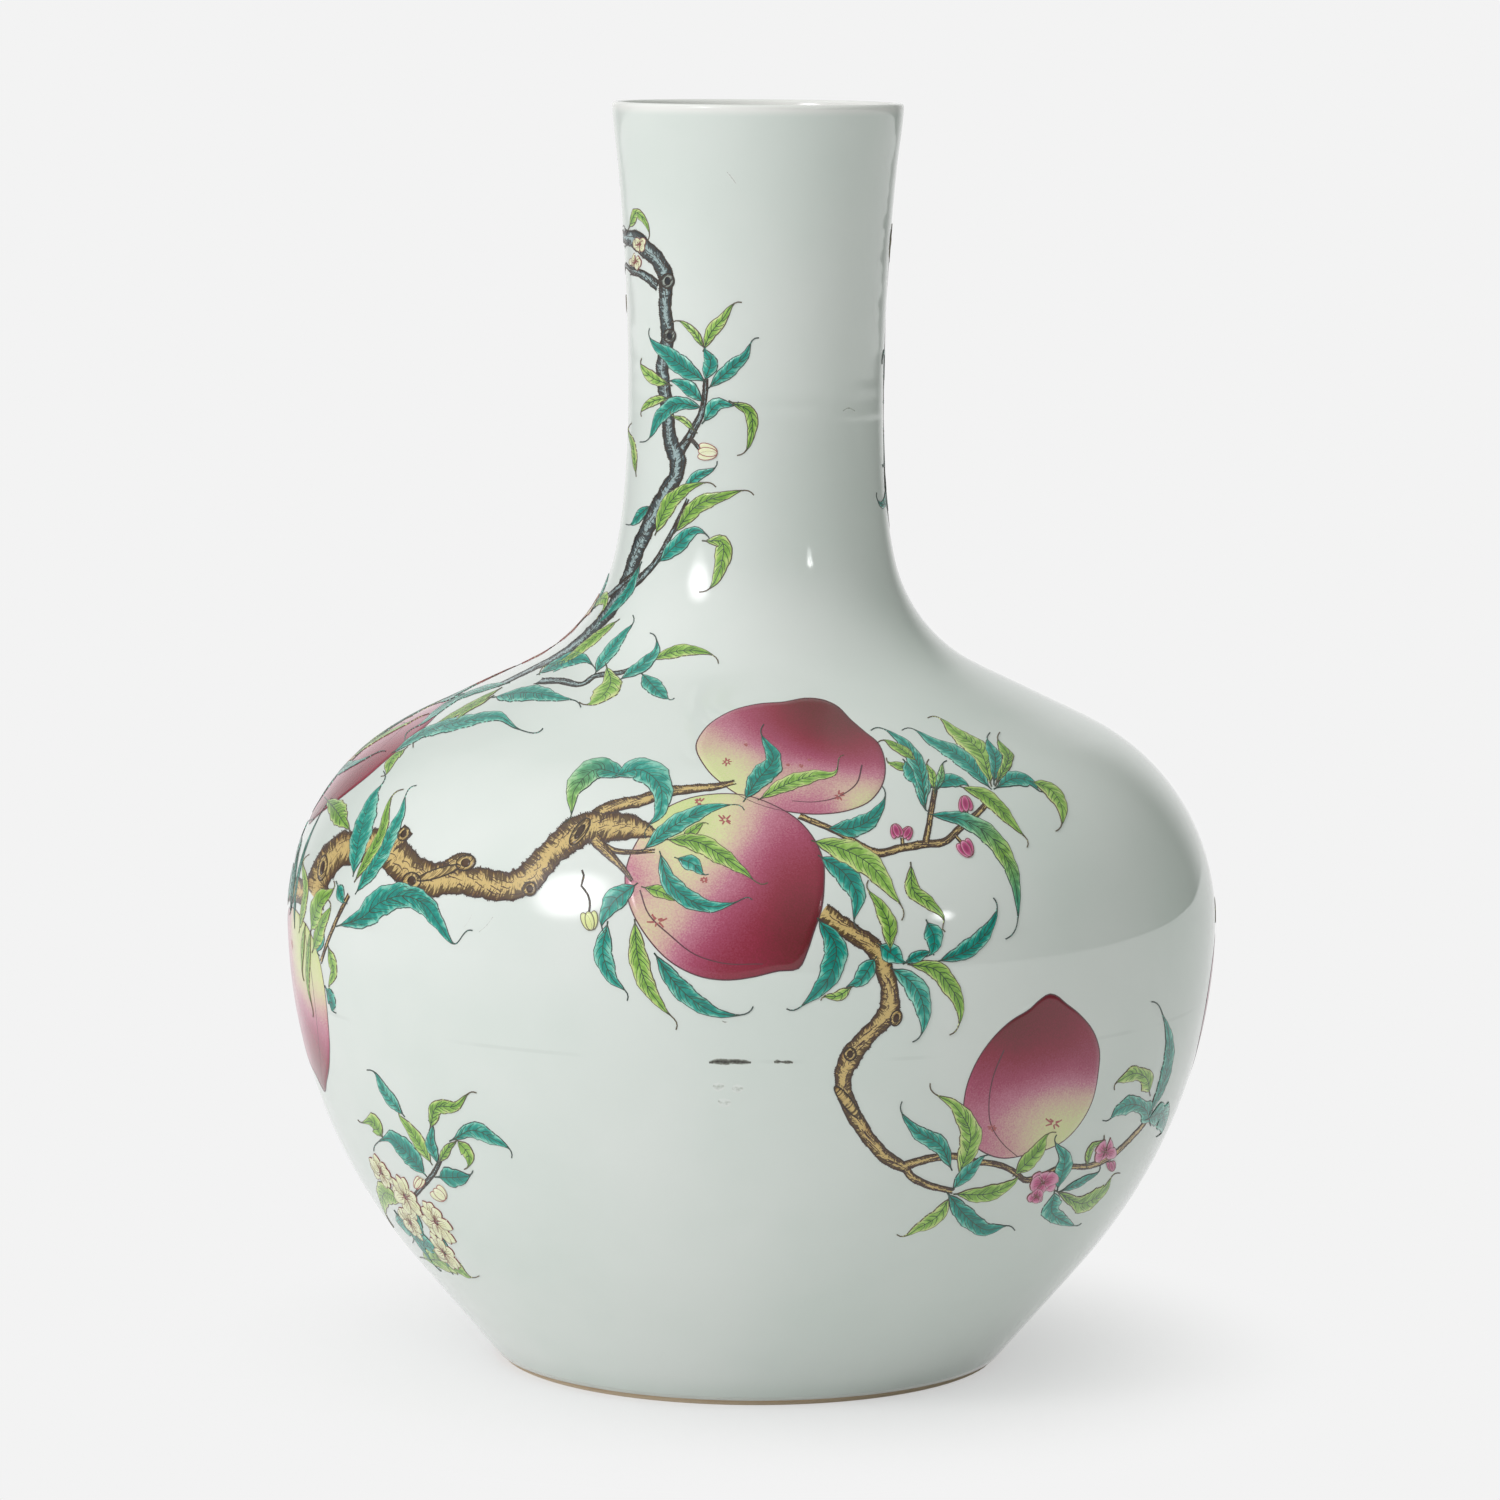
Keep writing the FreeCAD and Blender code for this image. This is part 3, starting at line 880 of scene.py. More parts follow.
# Boughs: turn of the page, age (0 brown, 1 old and grey), then knots of x, y and width.
BOUGHS = [
    (0, 1.0, [(622, 236, 8), (634, 239, 12), (647, 250, 13), (658, 261, 14), (666, 277, 15),
        (665, 295, 12), (665, 313, 12), (668, 330, 13), (667, 343, 12), (662, 366, 12), (665, 392, 12),
        (668, 422, 12), (671, 443, 14), (676, 455, 16), (677, 471, 14), (667, 491, 14), (654, 514, 14),
        (642, 540, 13), (633, 562, 12), (625, 585, 13), (615, 603, 12), (600, 622, 10), (581, 640, 9),
        (556, 657, 8), (528, 671, 7), (497, 686, 6)]),
    (0, 1.0, [(680, 452, 9), (693, 430, 7), (700, 417, 6), (703, 407, 5), (705, 392, 5), (706, 379, 4)]),
    (0, 1.0, [(628, 589, 6), (644, 575, 6), (657, 560, 5), (667, 542, 4), (680, 516, 3),
        (688, 499, 2.5)]),
    (0, 1.0, [(630, 270, 5), (647, 277, 7), (658, 286, 8)]),
    (0, 0.0, [(314, 898, 20), (321, 873, 21), (339, 852, 22), (362, 847, 24), (382, 844, 26),
        (403, 865, 33), (426, 878, 33), (454, 880, 28), (482, 883, 28), (505, 887, 28), (528, 878, 27),
        (543, 862, 26), (561, 844, 27), (584, 829, 30), (612, 827, 27), (638, 829, 20), (654, 834, 8)]),
    (0, 0.0, [(392, 846, 9), (403, 836, 12), (409, 829, 11)]),
    (0, 0.0, [(440, 872, 10), (455, 863, 14), (467, 861, 15), (473, 866, 9)]),
    (0, 0.0, [(596, 816, 14), (611, 807, 12), (636, 802, 11), (667, 792, 10), (693, 789, 8),
        (718, 786, 6), (735, 782, 4)]),
    (0, 0.0, [(592, 836, 12), (603, 848, 10), (614, 859, 7), (625, 871, 4.5), (632, 881, 3)]),
    (0, 0.0, [(600, 843, 5), (616, 851, 4.5), (634, 852, 4), (655, 851, 3.5)]),
    (0, 0.0, [(799, 816, 5), (819, 824, 5), (842, 834, 6), (862, 847, 7), (875, 853, 8), (901, 848, 7),
        (926, 844, 7), (944, 842, 7), (959, 829, 6), (975, 816, 6), (988, 802, 5)]),
    (0, 0.0, [(925, 845, 6), (928, 830, 5), (931, 812, 5), (935, 790, 4)]),
    (0, 0.0, [(822, 911, 16), (839, 924, 19), (857, 936, 18), (875, 949, 17), (885, 972, 18),
        (890, 996, 17), (888, 1013, 19), (875, 1028, 17), (860, 1044, 18), (848, 1062, 19),
        (843, 1079, 16), (847, 1100, 15), (860, 1125, 14), (875, 1146, 13), (890, 1160, 12),
        (906, 1168, 9)]),
    (0, 0.0, [(903, 1167, 9), (911, 1164, 8), (933, 1158, 7), (953, 1156, 6), (977, 1162, 5),
        (996, 1164, 5), (1013, 1171, 5), (1025, 1180, 5), (1040, 1176, 4), (1059, 1168, 4),
        (1093, 1165, 4), (1110, 1157, 4), (1130, 1139, 3.5), (1147, 1119, 3), (1156, 1094, 2.5)]),
    (0, 0.0, [(905, 1168, 8), (911, 1176, 7), (928, 1185, 6), (953, 1191, 5)]),
    (0, 1.0, [(538, 681, 4), (560, 681, 4), (583, 684, 4), (593, 677, 4), (619, 673, 4), (640, 666, 3)]),
    (0, 1.0, [(413, 1197, 4), (424, 1185, 4), (433, 1174, 4), (444, 1152, 3)]),
    (0, 0.0, [(321, 962, 1.6), (328, 941, 2), (336, 921, 2.4), (349, 895, 3)]),
    (0, 0.0, [(589, 912, 1), (590, 903, 1), (587, 893, 1), (581, 885, 1), (584, 877, 1),
        (582, 870, 0.8)]),
    (0, 0.0, [(902, 838, 2.2), (903, 847, 3)]),
    (0, 0.0, [(961, 842, 2.2), (954, 834, 3)]),
    (0, 0.0, [(966, 811, 2), (970, 819, 3)]),
    (0, 1.0, [(700, 449, 3), (690, 440, 4), (684, 446, 5)]),
    (-130, 0.0, [(590, 1262, 50), (622, 1196, 50), (668, 1148, 44), (716, 1098, 42), (772, 1052, 40),
        (838, 1020, 36), (906, 1000, 33), (978, 972, 30), (1052, 958, 27), (1118, 930, 24),
        (1160, 915, 22)]),
    (-130, 1.0, [(826, 1022, 28), (842, 968, 25), (872, 918, 22), (880, 860, 19), (910, 806, 16),
        (934, 756, 13), (955, 726, 10)]),
    (-130, 0.0, [(700, 1112, 30), (664, 1046, 26), (606, 1008, 24), (560, 950, 22), (498, 930, 19),
        (440, 938, 16), (392, 912, 14)]),
    (-130, 0.0, [(604, 1006, 12), (612, 950, 10), (640, 900, 8), (648, 858, 6), (676, 830, 4)]),
    (-130, 0.0, [(886, 1008, 10), (896, 1056, 9), (926, 1104, 7), (930, 1150, 6), (952, 1186, 4)]),
    (-130, 1.0, [(886, 862, 8), (930, 838, 6), (976, 838, 5), (1010, 820, 4)]),
    (95, 0.0, [(1192, 938, 9), (1108, 900, 8), (1020, 908, 7), (940, 880, 6), (862, 908, 6),
        (790, 948, 5), (724, 1002, 4)]),
    (95, 0.0, [(940, 880, 5), (900, 836, 4), (880, 790, 3)]),
    (180, 0.0, [(836, 918, 15), (776, 902, 14), (716, 926, 13), (662, 962, 12), (596, 958, 10),
        (534, 990, 9), (478, 1040, 8), (452, 1098, 6), (414, 1140, 4)]),
    (180, 1.0, [(792, 904, 10), (764, 852, 10), (770, 790, 10), (748, 728, 9), (722, 668, 9),
        (700, 596, 9), (712, 520, 8), (700, 452, 8), (716, 388, 7), (738, 330, 5), (742, 268, 4)]),
    (180, 0.0, [(600, 958, 6), (566, 914, 5), (522, 890, 5), (494, 852, 4)]),
    (180, 1.0, [(708, 500, 5), (740, 470, 4), (766, 430, 3)]),
    (180, 1.0, [(720, 664, 5), (680, 640, 4), (652, 640, 3)]),
    (110, 0.0, [(978, 1130, 7), (910, 1146, 6), (860, 1150, 5), (816, 1180, 4)]),
    (100, 1.0, [(926, 664, 8), (862, 640, 7), (802, 598, 7), (752, 550, 6), (718, 500, 6), (738, 440, 6),
        (730, 380, 5), (744, 320, 5), (738, 262, 4)]),
    (-130, 0.0, [(606, 1232, 30), (572, 1276, 26), (540, 1304, 18), (500, 1316, 10), (470, 1330, 4)]),
    (-130, 0.0, [(602, 1236, 34), (590, 1284, 28), (566, 1322, 18), (556, 1350, 5)]),
    (-130, 0.0, [(612, 1232, 30), (620, 1280, 24), (650, 1312, 16), (684, 1322, 10), (716, 1340, 4)]),
    (-90, 1.0, [(796, 243, 12), (762, 243, 11), (728, 238, 9), (702, 220, 7), (690, 194, 5),
        (702, 166, 3)]),
    (-90, 1.0, [(806, 278, 6), (776, 272, 5), (748, 282, 4), (728, 302, 3)]),
    (-90, 1.0, [(836, 580, 8), (806, 606, 7), (770, 626, 6), (744, 652, 5), (716, 682, 4),
        (700, 722, 3)]),
]

# Eyes where limbs were lost: turn of the page, age, x, y, width, height and lean.
EYES = [
    (0, 0.0, 439, 873, 9, 46, 72), (0, 0.0, 412, 881, 18, 17, 0), (0, 0.0, 323, 868, 9, 26, 10),
    (0, 0.0, 580, 832, 12, 32, 35), (0, 0.0, 530, 889, 14, 14, 0), (0, 0.0, 404, 834, 11, 15, 30),
    (0, 0.0, 466, 863, 20, 15, -20), (0, 1.0, 668, 281, 13, 15, 0), (0, 1.0, 670, 336, 12, 14, 0),
    (0, 0.0, 896, 1018, 11, 16, 20), (0, 0.0, 850, 1054, 12, 13, 0), (0, 0.0, 847, 1102, 10, 40, -38),
    (-130, 0.0, 700, 1112, 26, 34, 40), (-130, 1.0, 842, 1018, 24, 26, 0),
    (-130, 0.0, 980, 972, 17, 20, 60), (-130, 0.0, 620, 1204, 20, 30, 30),
    (-130, 0.0, 562, 950, 15, 17, 0), (-130, 1.0, 876, 900, 13, 17, 20),
    (-130, 0.0, 1060, 956, 13, 15, 0), (180, 0.0, 716, 926, 10, 11, 0), (180, 1.0, 768, 800, 7, 9, 0),
]

# Leaves of each turn: colour (t blue green, y yellow green, or from one to the other), width,
# then x and y of the knots.
LEAVES = {
    0: [
        ("y", 7, (630, 226), (636, 213), (649, 238)),
        ("y", 8, (703, 346), (692, 330), (675, 321)),
        ("y", 12, (705, 347), (711, 333), (722, 320), (739, 302)),
        ("t", 15, (706, 378), (711, 362), (705, 346)),
        ("t", 17, (703, 380), (675, 360), (649, 331)),
        ("t", 15, (711, 386), (733, 367), (745, 356), (756, 338)),
        ("t", 13, (701, 400), (685, 386), (667, 382)),
        ("y", 10, (668, 384), (652, 377), (641, 361)),
        ("t", 14, (700, 407), (677, 404), (661, 416), (643, 442)),
        ("y", 8, (668, 398), (652, 402), (641, 414)),
        ("y", 6, (694, 430), (684, 420), (671, 414)),
        ("t", 14, (705, 420), (718, 404), (737, 404)),
        ("y", 12, (733, 403), (750, 412), (752, 430), (740, 455)),
        ("y", 5, (636, 472), (634, 448), (630, 425)),
        ("t", 10, (684, 489), (698, 476), (717, 464)),
        ("y", 15, (657, 531), (669, 504), (688, 488), (714, 485)),
        ("y", 16, (677, 530), (698, 505), (723, 496), (752, 493)),
        ("t", 8, (649, 507), (640, 515), (629, 525)),
        ("t", 15, (661, 560), (680, 542), (698, 530), (710, 541)),
        ("y", 17, (707, 541), (722, 542), (722, 562), (702, 592)),
        ("t", 12, (541, 673), (566, 661), (589, 662), (596, 672)),
        ("t", 11, (597, 671), (611, 650), (622, 636), (634, 618)),
        ("y", 17, (607, 668), (611, 682), (605, 694), (582, 704)),
        ("t", 12, (623, 678), (644, 664), (657, 648), (653, 634)),
        ("t", 14, (643, 675), (657, 690), (666, 698), (672, 700)),
        ("y", 13, (655, 659), (675, 652), (696, 651), (718, 661)),
        ("t", 11, (497, 697), (530, 693), (556, 698), (580, 705)),
        ("t", 12, (396, 751), (426, 732), (464, 722), (502, 718), (518, 729), (541, 731)),
        ("y", 7, (404, 750), (392, 760), (384, 776)),
        ("y", 14, (328, 801), (336, 810), (343, 821), (350, 833)),
        ("t", 17, (354, 872), (362, 829), (373, 797), (385, 774)),
        ("y", 9, (357, 878), (380, 838), (401, 790)),
        ("t", 15, (358, 890), (382, 852), (400, 816), (414, 786)),
        ("t", 23, (341, 925), (360, 919), (382, 902), (405, 896), (424, 904), (440, 925), (455, 944),
            (470, 930)),
        ("t", 8, (338, 886), (341, 894), (345, 903)),
        ("y", 12, (312, 928), (320, 903), (335, 884)),
        ("t", 6, (321, 926), (321, 940), (318, 954)),
        ("y", 8, (329, 949), (334, 972), (330, 990)),
        ("t", 7, (327, 990), (332, 1000), (334, 1012)),
        ("t", 5, (292, 905), (299, 850), (311, 820)),
        ("y", 6, (300, 928), (306, 890), (307, 856)),
        ("ty", 21, (624, 776), (596, 770), (575, 790), (566, 822)),
        ("t", 24, (617, 776), (640, 770), (660, 786), (660, 812), (645, 836)),
        ("t", 20, (746, 798), (758, 780), (773, 761), (762, 727)),
        ("y", 15, (762, 798), (786, 785), (814, 776), (836, 772), (841, 756)),
        ("t", 17, (646, 848), (671, 828), (696, 814), (722, 806), (743, 808)),
        ("y", 9, (683, 838), (694, 830), (706, 823)),
        ("y", 18, (670, 840), (696, 842), (722, 856), (742, 870), (765, 884)),
        ("t", 15, (679, 859), (693, 864), (706, 875)),
        ("y", 12, (646, 888), (661, 892), (678, 900)),
        ("t", 19, (661, 856), (668, 880), (688, 899), (712, 907), (734, 903), (750, 898)),
        ("t", 21, (634, 886), (612, 904), (603, 931)),
        ("t", 18, (607, 926), (603, 952), (612, 978), (628, 998)),
        ("y", 20, (635, 924), (638, 957), (648, 987), (663, 1008), (677, 1027)),
        ("t", 20, (657, 957), (676, 984), (696, 1002), (722, 1014), (752, 1009)),
        ("y", 26, (816, 842), (844, 850), (870, 865), (888, 888), (903, 918)),
        ("t", 21, (822, 858), (844, 873), (857, 895), (857, 928)),
        ("t", 18, (830, 829), (855, 828), (875, 815), (884, 789)),
        ("t", 23, (820, 922), (836, 947), (829, 977), (811, 998), (789, 1010)),
        ("y", 17, (890, 948), (888, 922), (878, 903), (867, 883)),
        ("t", 18, (874, 960), (858, 982), (846, 988)),
        ("y", 10, (850, 988), (838, 996), (822, 998)),
        ("t", 12, (925, 806), (918, 766), (898, 738), (873, 729)),
        ("y", 9, (914, 760), (898, 748), (880, 741)),
        ("y", 8, (910, 770), (898, 766), (887, 761)),
        ("t", 17, (906, 763), (921, 781), (927, 811)),
        ("y", 8, (934, 790), (932, 775), (927, 762)),
        ("ty", 8, (936, 790), (941, 776), (944, 762)),
        ("t", 14, (988, 786), (959, 756), (933, 742), (904, 729)),
        ("y", 15, (990, 782), (980, 752), (958, 734), (930, 717)),
        ("t", 11, (994, 780), (995, 758), (988, 735)),
        ("y", 10, (997, 782), (1008, 758), (998, 735)),
        ("t", 13, (935, 786), (952, 780), (970, 789)),
        ("y", 15, (964, 788), (985, 796), (1002, 812), (1016, 828), (1028, 845)),
        ("t", 13, (998, 787), (1014, 779), (1030, 782), (1042, 792)),
        ("y", 13, (1034, 783), (1050, 790), (1061, 807), (1058, 830)),
        ("tyt", 18, (932, 815), (962, 820), (987, 834), (1005, 857), (1016, 890), (1008, 938)),
        ("y", 15, (911, 867), (913, 890), (930, 904), (944, 920), (943, 930)),
        ("t", 19, (928, 924), (934, 938), (928, 956)),
        ("t", 17, (942, 960), (964, 952), (985, 934), (995, 900)),
        ("t", 12, (907, 962), (920, 955), (932, 953)),
        ("t", 19, (881, 946), (893, 955), (906, 962)),
        ("t", 22, (894, 970), (913, 984), (923, 1005), (915, 1041)),
        ("y", 18, (912, 965), (934, 969), (952, 990), (959, 1004), (952, 1034)),
        ("t", 17, (950, 1166), (941, 1146), (916, 1130), (901, 1104)),
        ("y", 20, (960, 1172), (970, 1133), (955, 1106), (930, 1086)),
        ("t", 13, (954, 1187), (972, 1168), (989, 1155)),
        ("y", 15, (958, 1194), (989, 1193), (1014, 1181), (1024, 1170)),
        ("y", 15, (1016, 1173), (1035, 1154), (1053, 1132)),
        ("y", 13, (948, 1200), (936, 1217), (919, 1227), (899, 1236)),
        ("t", 18, (949, 1195), (965, 1215), (984, 1229), (1013, 1228)),
        ("t", 13, (1058, 1186), (1064, 1158), (1055, 1137)),
        ("t", 17, (1054, 1194), (1052, 1213), (1064, 1221), (1079, 1225)),
        ("y", 12, (1058, 1192), (1082, 1203), (1103, 1191), (1117, 1173)),
        ("t", 6, (1063, 1190), (1084, 1180), (1100, 1168)),
        ("y", 6, (1087, 1164), (1091, 1147), (1104, 1138)),
        ("t", 14, (1149, 1121), (1145, 1109), (1133, 1104), (1119, 1109), (1105, 1121)),
        ("y", 14, (1149, 1091), (1146, 1078), (1136, 1073), (1125, 1077), (1114, 1087)),
        ("t", 10, (1151, 1110), (1164, 1079), (1169, 1045), (1164, 1019), (1154, 1002)),
        ("t", 10, (1149, 1118), (1161, 1113), (1159, 1135)),
        ("y", 11, (430, 1161), (413, 1133), (399, 1108)),
        ("t", 10, (402, 1113), (385, 1091), (370, 1070)),
        ("t", 9, (437, 1161), (431, 1143), (431, 1122)),
        ("y", 13, (431, 1126), (437, 1107), (455, 1106), (474, 1092)),
        ("t", 16, (454, 1139), (472, 1130), (492, 1138), (512, 1155)),
        ("y", 9, (440, 1161), (449, 1147), (457, 1139)),
        ("y", 12, (459, 1142), (469, 1155), (467, 1168)),
        ("t", 17, (440, 1177), (456, 1177), (472, 1173)),
        ("t", 18, (424, 1173), (405, 1150), (388, 1138), (374, 1148)),
        ("y", 11, (382, 1136), (371, 1121), (360, 1122)),
        ("t", 12, (397, 1214), (405, 1226), (414, 1240)),
        ("t", 12, (420, 1237), (427, 1244), (435, 1252)),
        ("y", 12, (425, 1258), (449, 1262), (477, 1277)),
        ("t", 9, (505, 684), (480, 690), (455, 700), (425, 722), (405, 738)),
        ("y", 7, (498, 690), (470, 706), (440, 724), (413, 745)),
        ("y", 5, (490, 698), (465, 712), (452, 722)),
        ("y", 8, (616, 622), (590, 642), (566, 660), (540, 672)),
        ("t", 8, (640, 566), (628, 592), (610, 612), (596, 632)),
        ("y", 9, (314, 948), (322, 925), (330, 902)),
    ],
    -45: [
        ("t", 24, (676, 1250), (654, 1262), (640, 1284), (646, 1308)),
        ("t", 20, (700, 1266), (694, 1288), (676, 1306)),
        ("y", 20, (650, 1240), (618, 1236), (590, 1250), (570, 1272)),
    ],
    -70: [
        ("y", 14, (770, 985), (760, 1015), (752, 1045), (758, 1072)),
        ("y", 12, (750, 982), (738, 1010), (735, 1038)),
        ("t", 12, (700, 985), (690, 940), (684, 890), (690, 850)),
        ("t", 14, (560, 740), (590, 752), (620, 780), (640, 822)),
    ],
}

# Sprays of leaves: turn, x and y of the twig's end, heading in degrees, leaves, reach in pixels.
SPRAYS = [
    (-130, 676, 830, -60, 6, 92), (-130, 648, 862, 170, 3, 80), (-130, 392, 912, 200, 5, 84),
    (-130, 952, 1186, 30, 6, 80), (-130, 926, 1104, 150, 3, 74), (-130, 1010, 820, -20, 5, 80),
    (-130, 930, 838, 70, 2, 66), (-130, 556, 946, -100, 4, 86), (-130, 760, 1060, -110, 3, 96),
    (-130, 1060, 950, -80, 4, 84), (-130, 660, 1146, 20, 4, 90), (-130, 498, 930, 100, 4, 92),
    (180, 414, 1140, 120, 6, 84), (180, 494, 852, 230, 6, 84), (180, 662, 962, 80, 4, 90),
    (180, 534, 990, 60, 3, 84), (180, 742, 268, -80, 4, 52), (180, 766, 430, -40, 4, 50),
    (180, 700, 452, 190, 3, 48), (180, 652, 640, 170, 4, 60), (180, 748, 728, -20, 4, 66),
    (180, 770, 790, 190, 3, 66), (180, 776, 902, -60, 4, 80), (95, 730, 1000, -50, 4, 80),
    (95, 862, 908, -90, 4, 82), (95, 1020, 908, 70, 4, 84), (95, 880, 790, -110, 5, 78),
    (95, 940, 880, 100, 2, 70), (110, 816, 1180, 170, 5, 76), (110, 880, 1148, -70, 3, 70),
    (100, 738, 262, -70, 4, 48), (100, 730, 380, -20, 3, 46), (100, 738, 440, 20, 4, 48),
    (100, 718, 500, 70, 3, 46), (-90, 702, 166, -80, 5, 56), (-90, 728, 302, 130, 3, 50),
    (-90, 690, 200, 190, 2, 46), (-90, 700, 722, 110, 4, 70), (-90, 776, 622, -110, 3, 60),
    (-130, 640, 1300, -60, 4, 78), (-130, 566, 1288, -120, 3, 58),
]

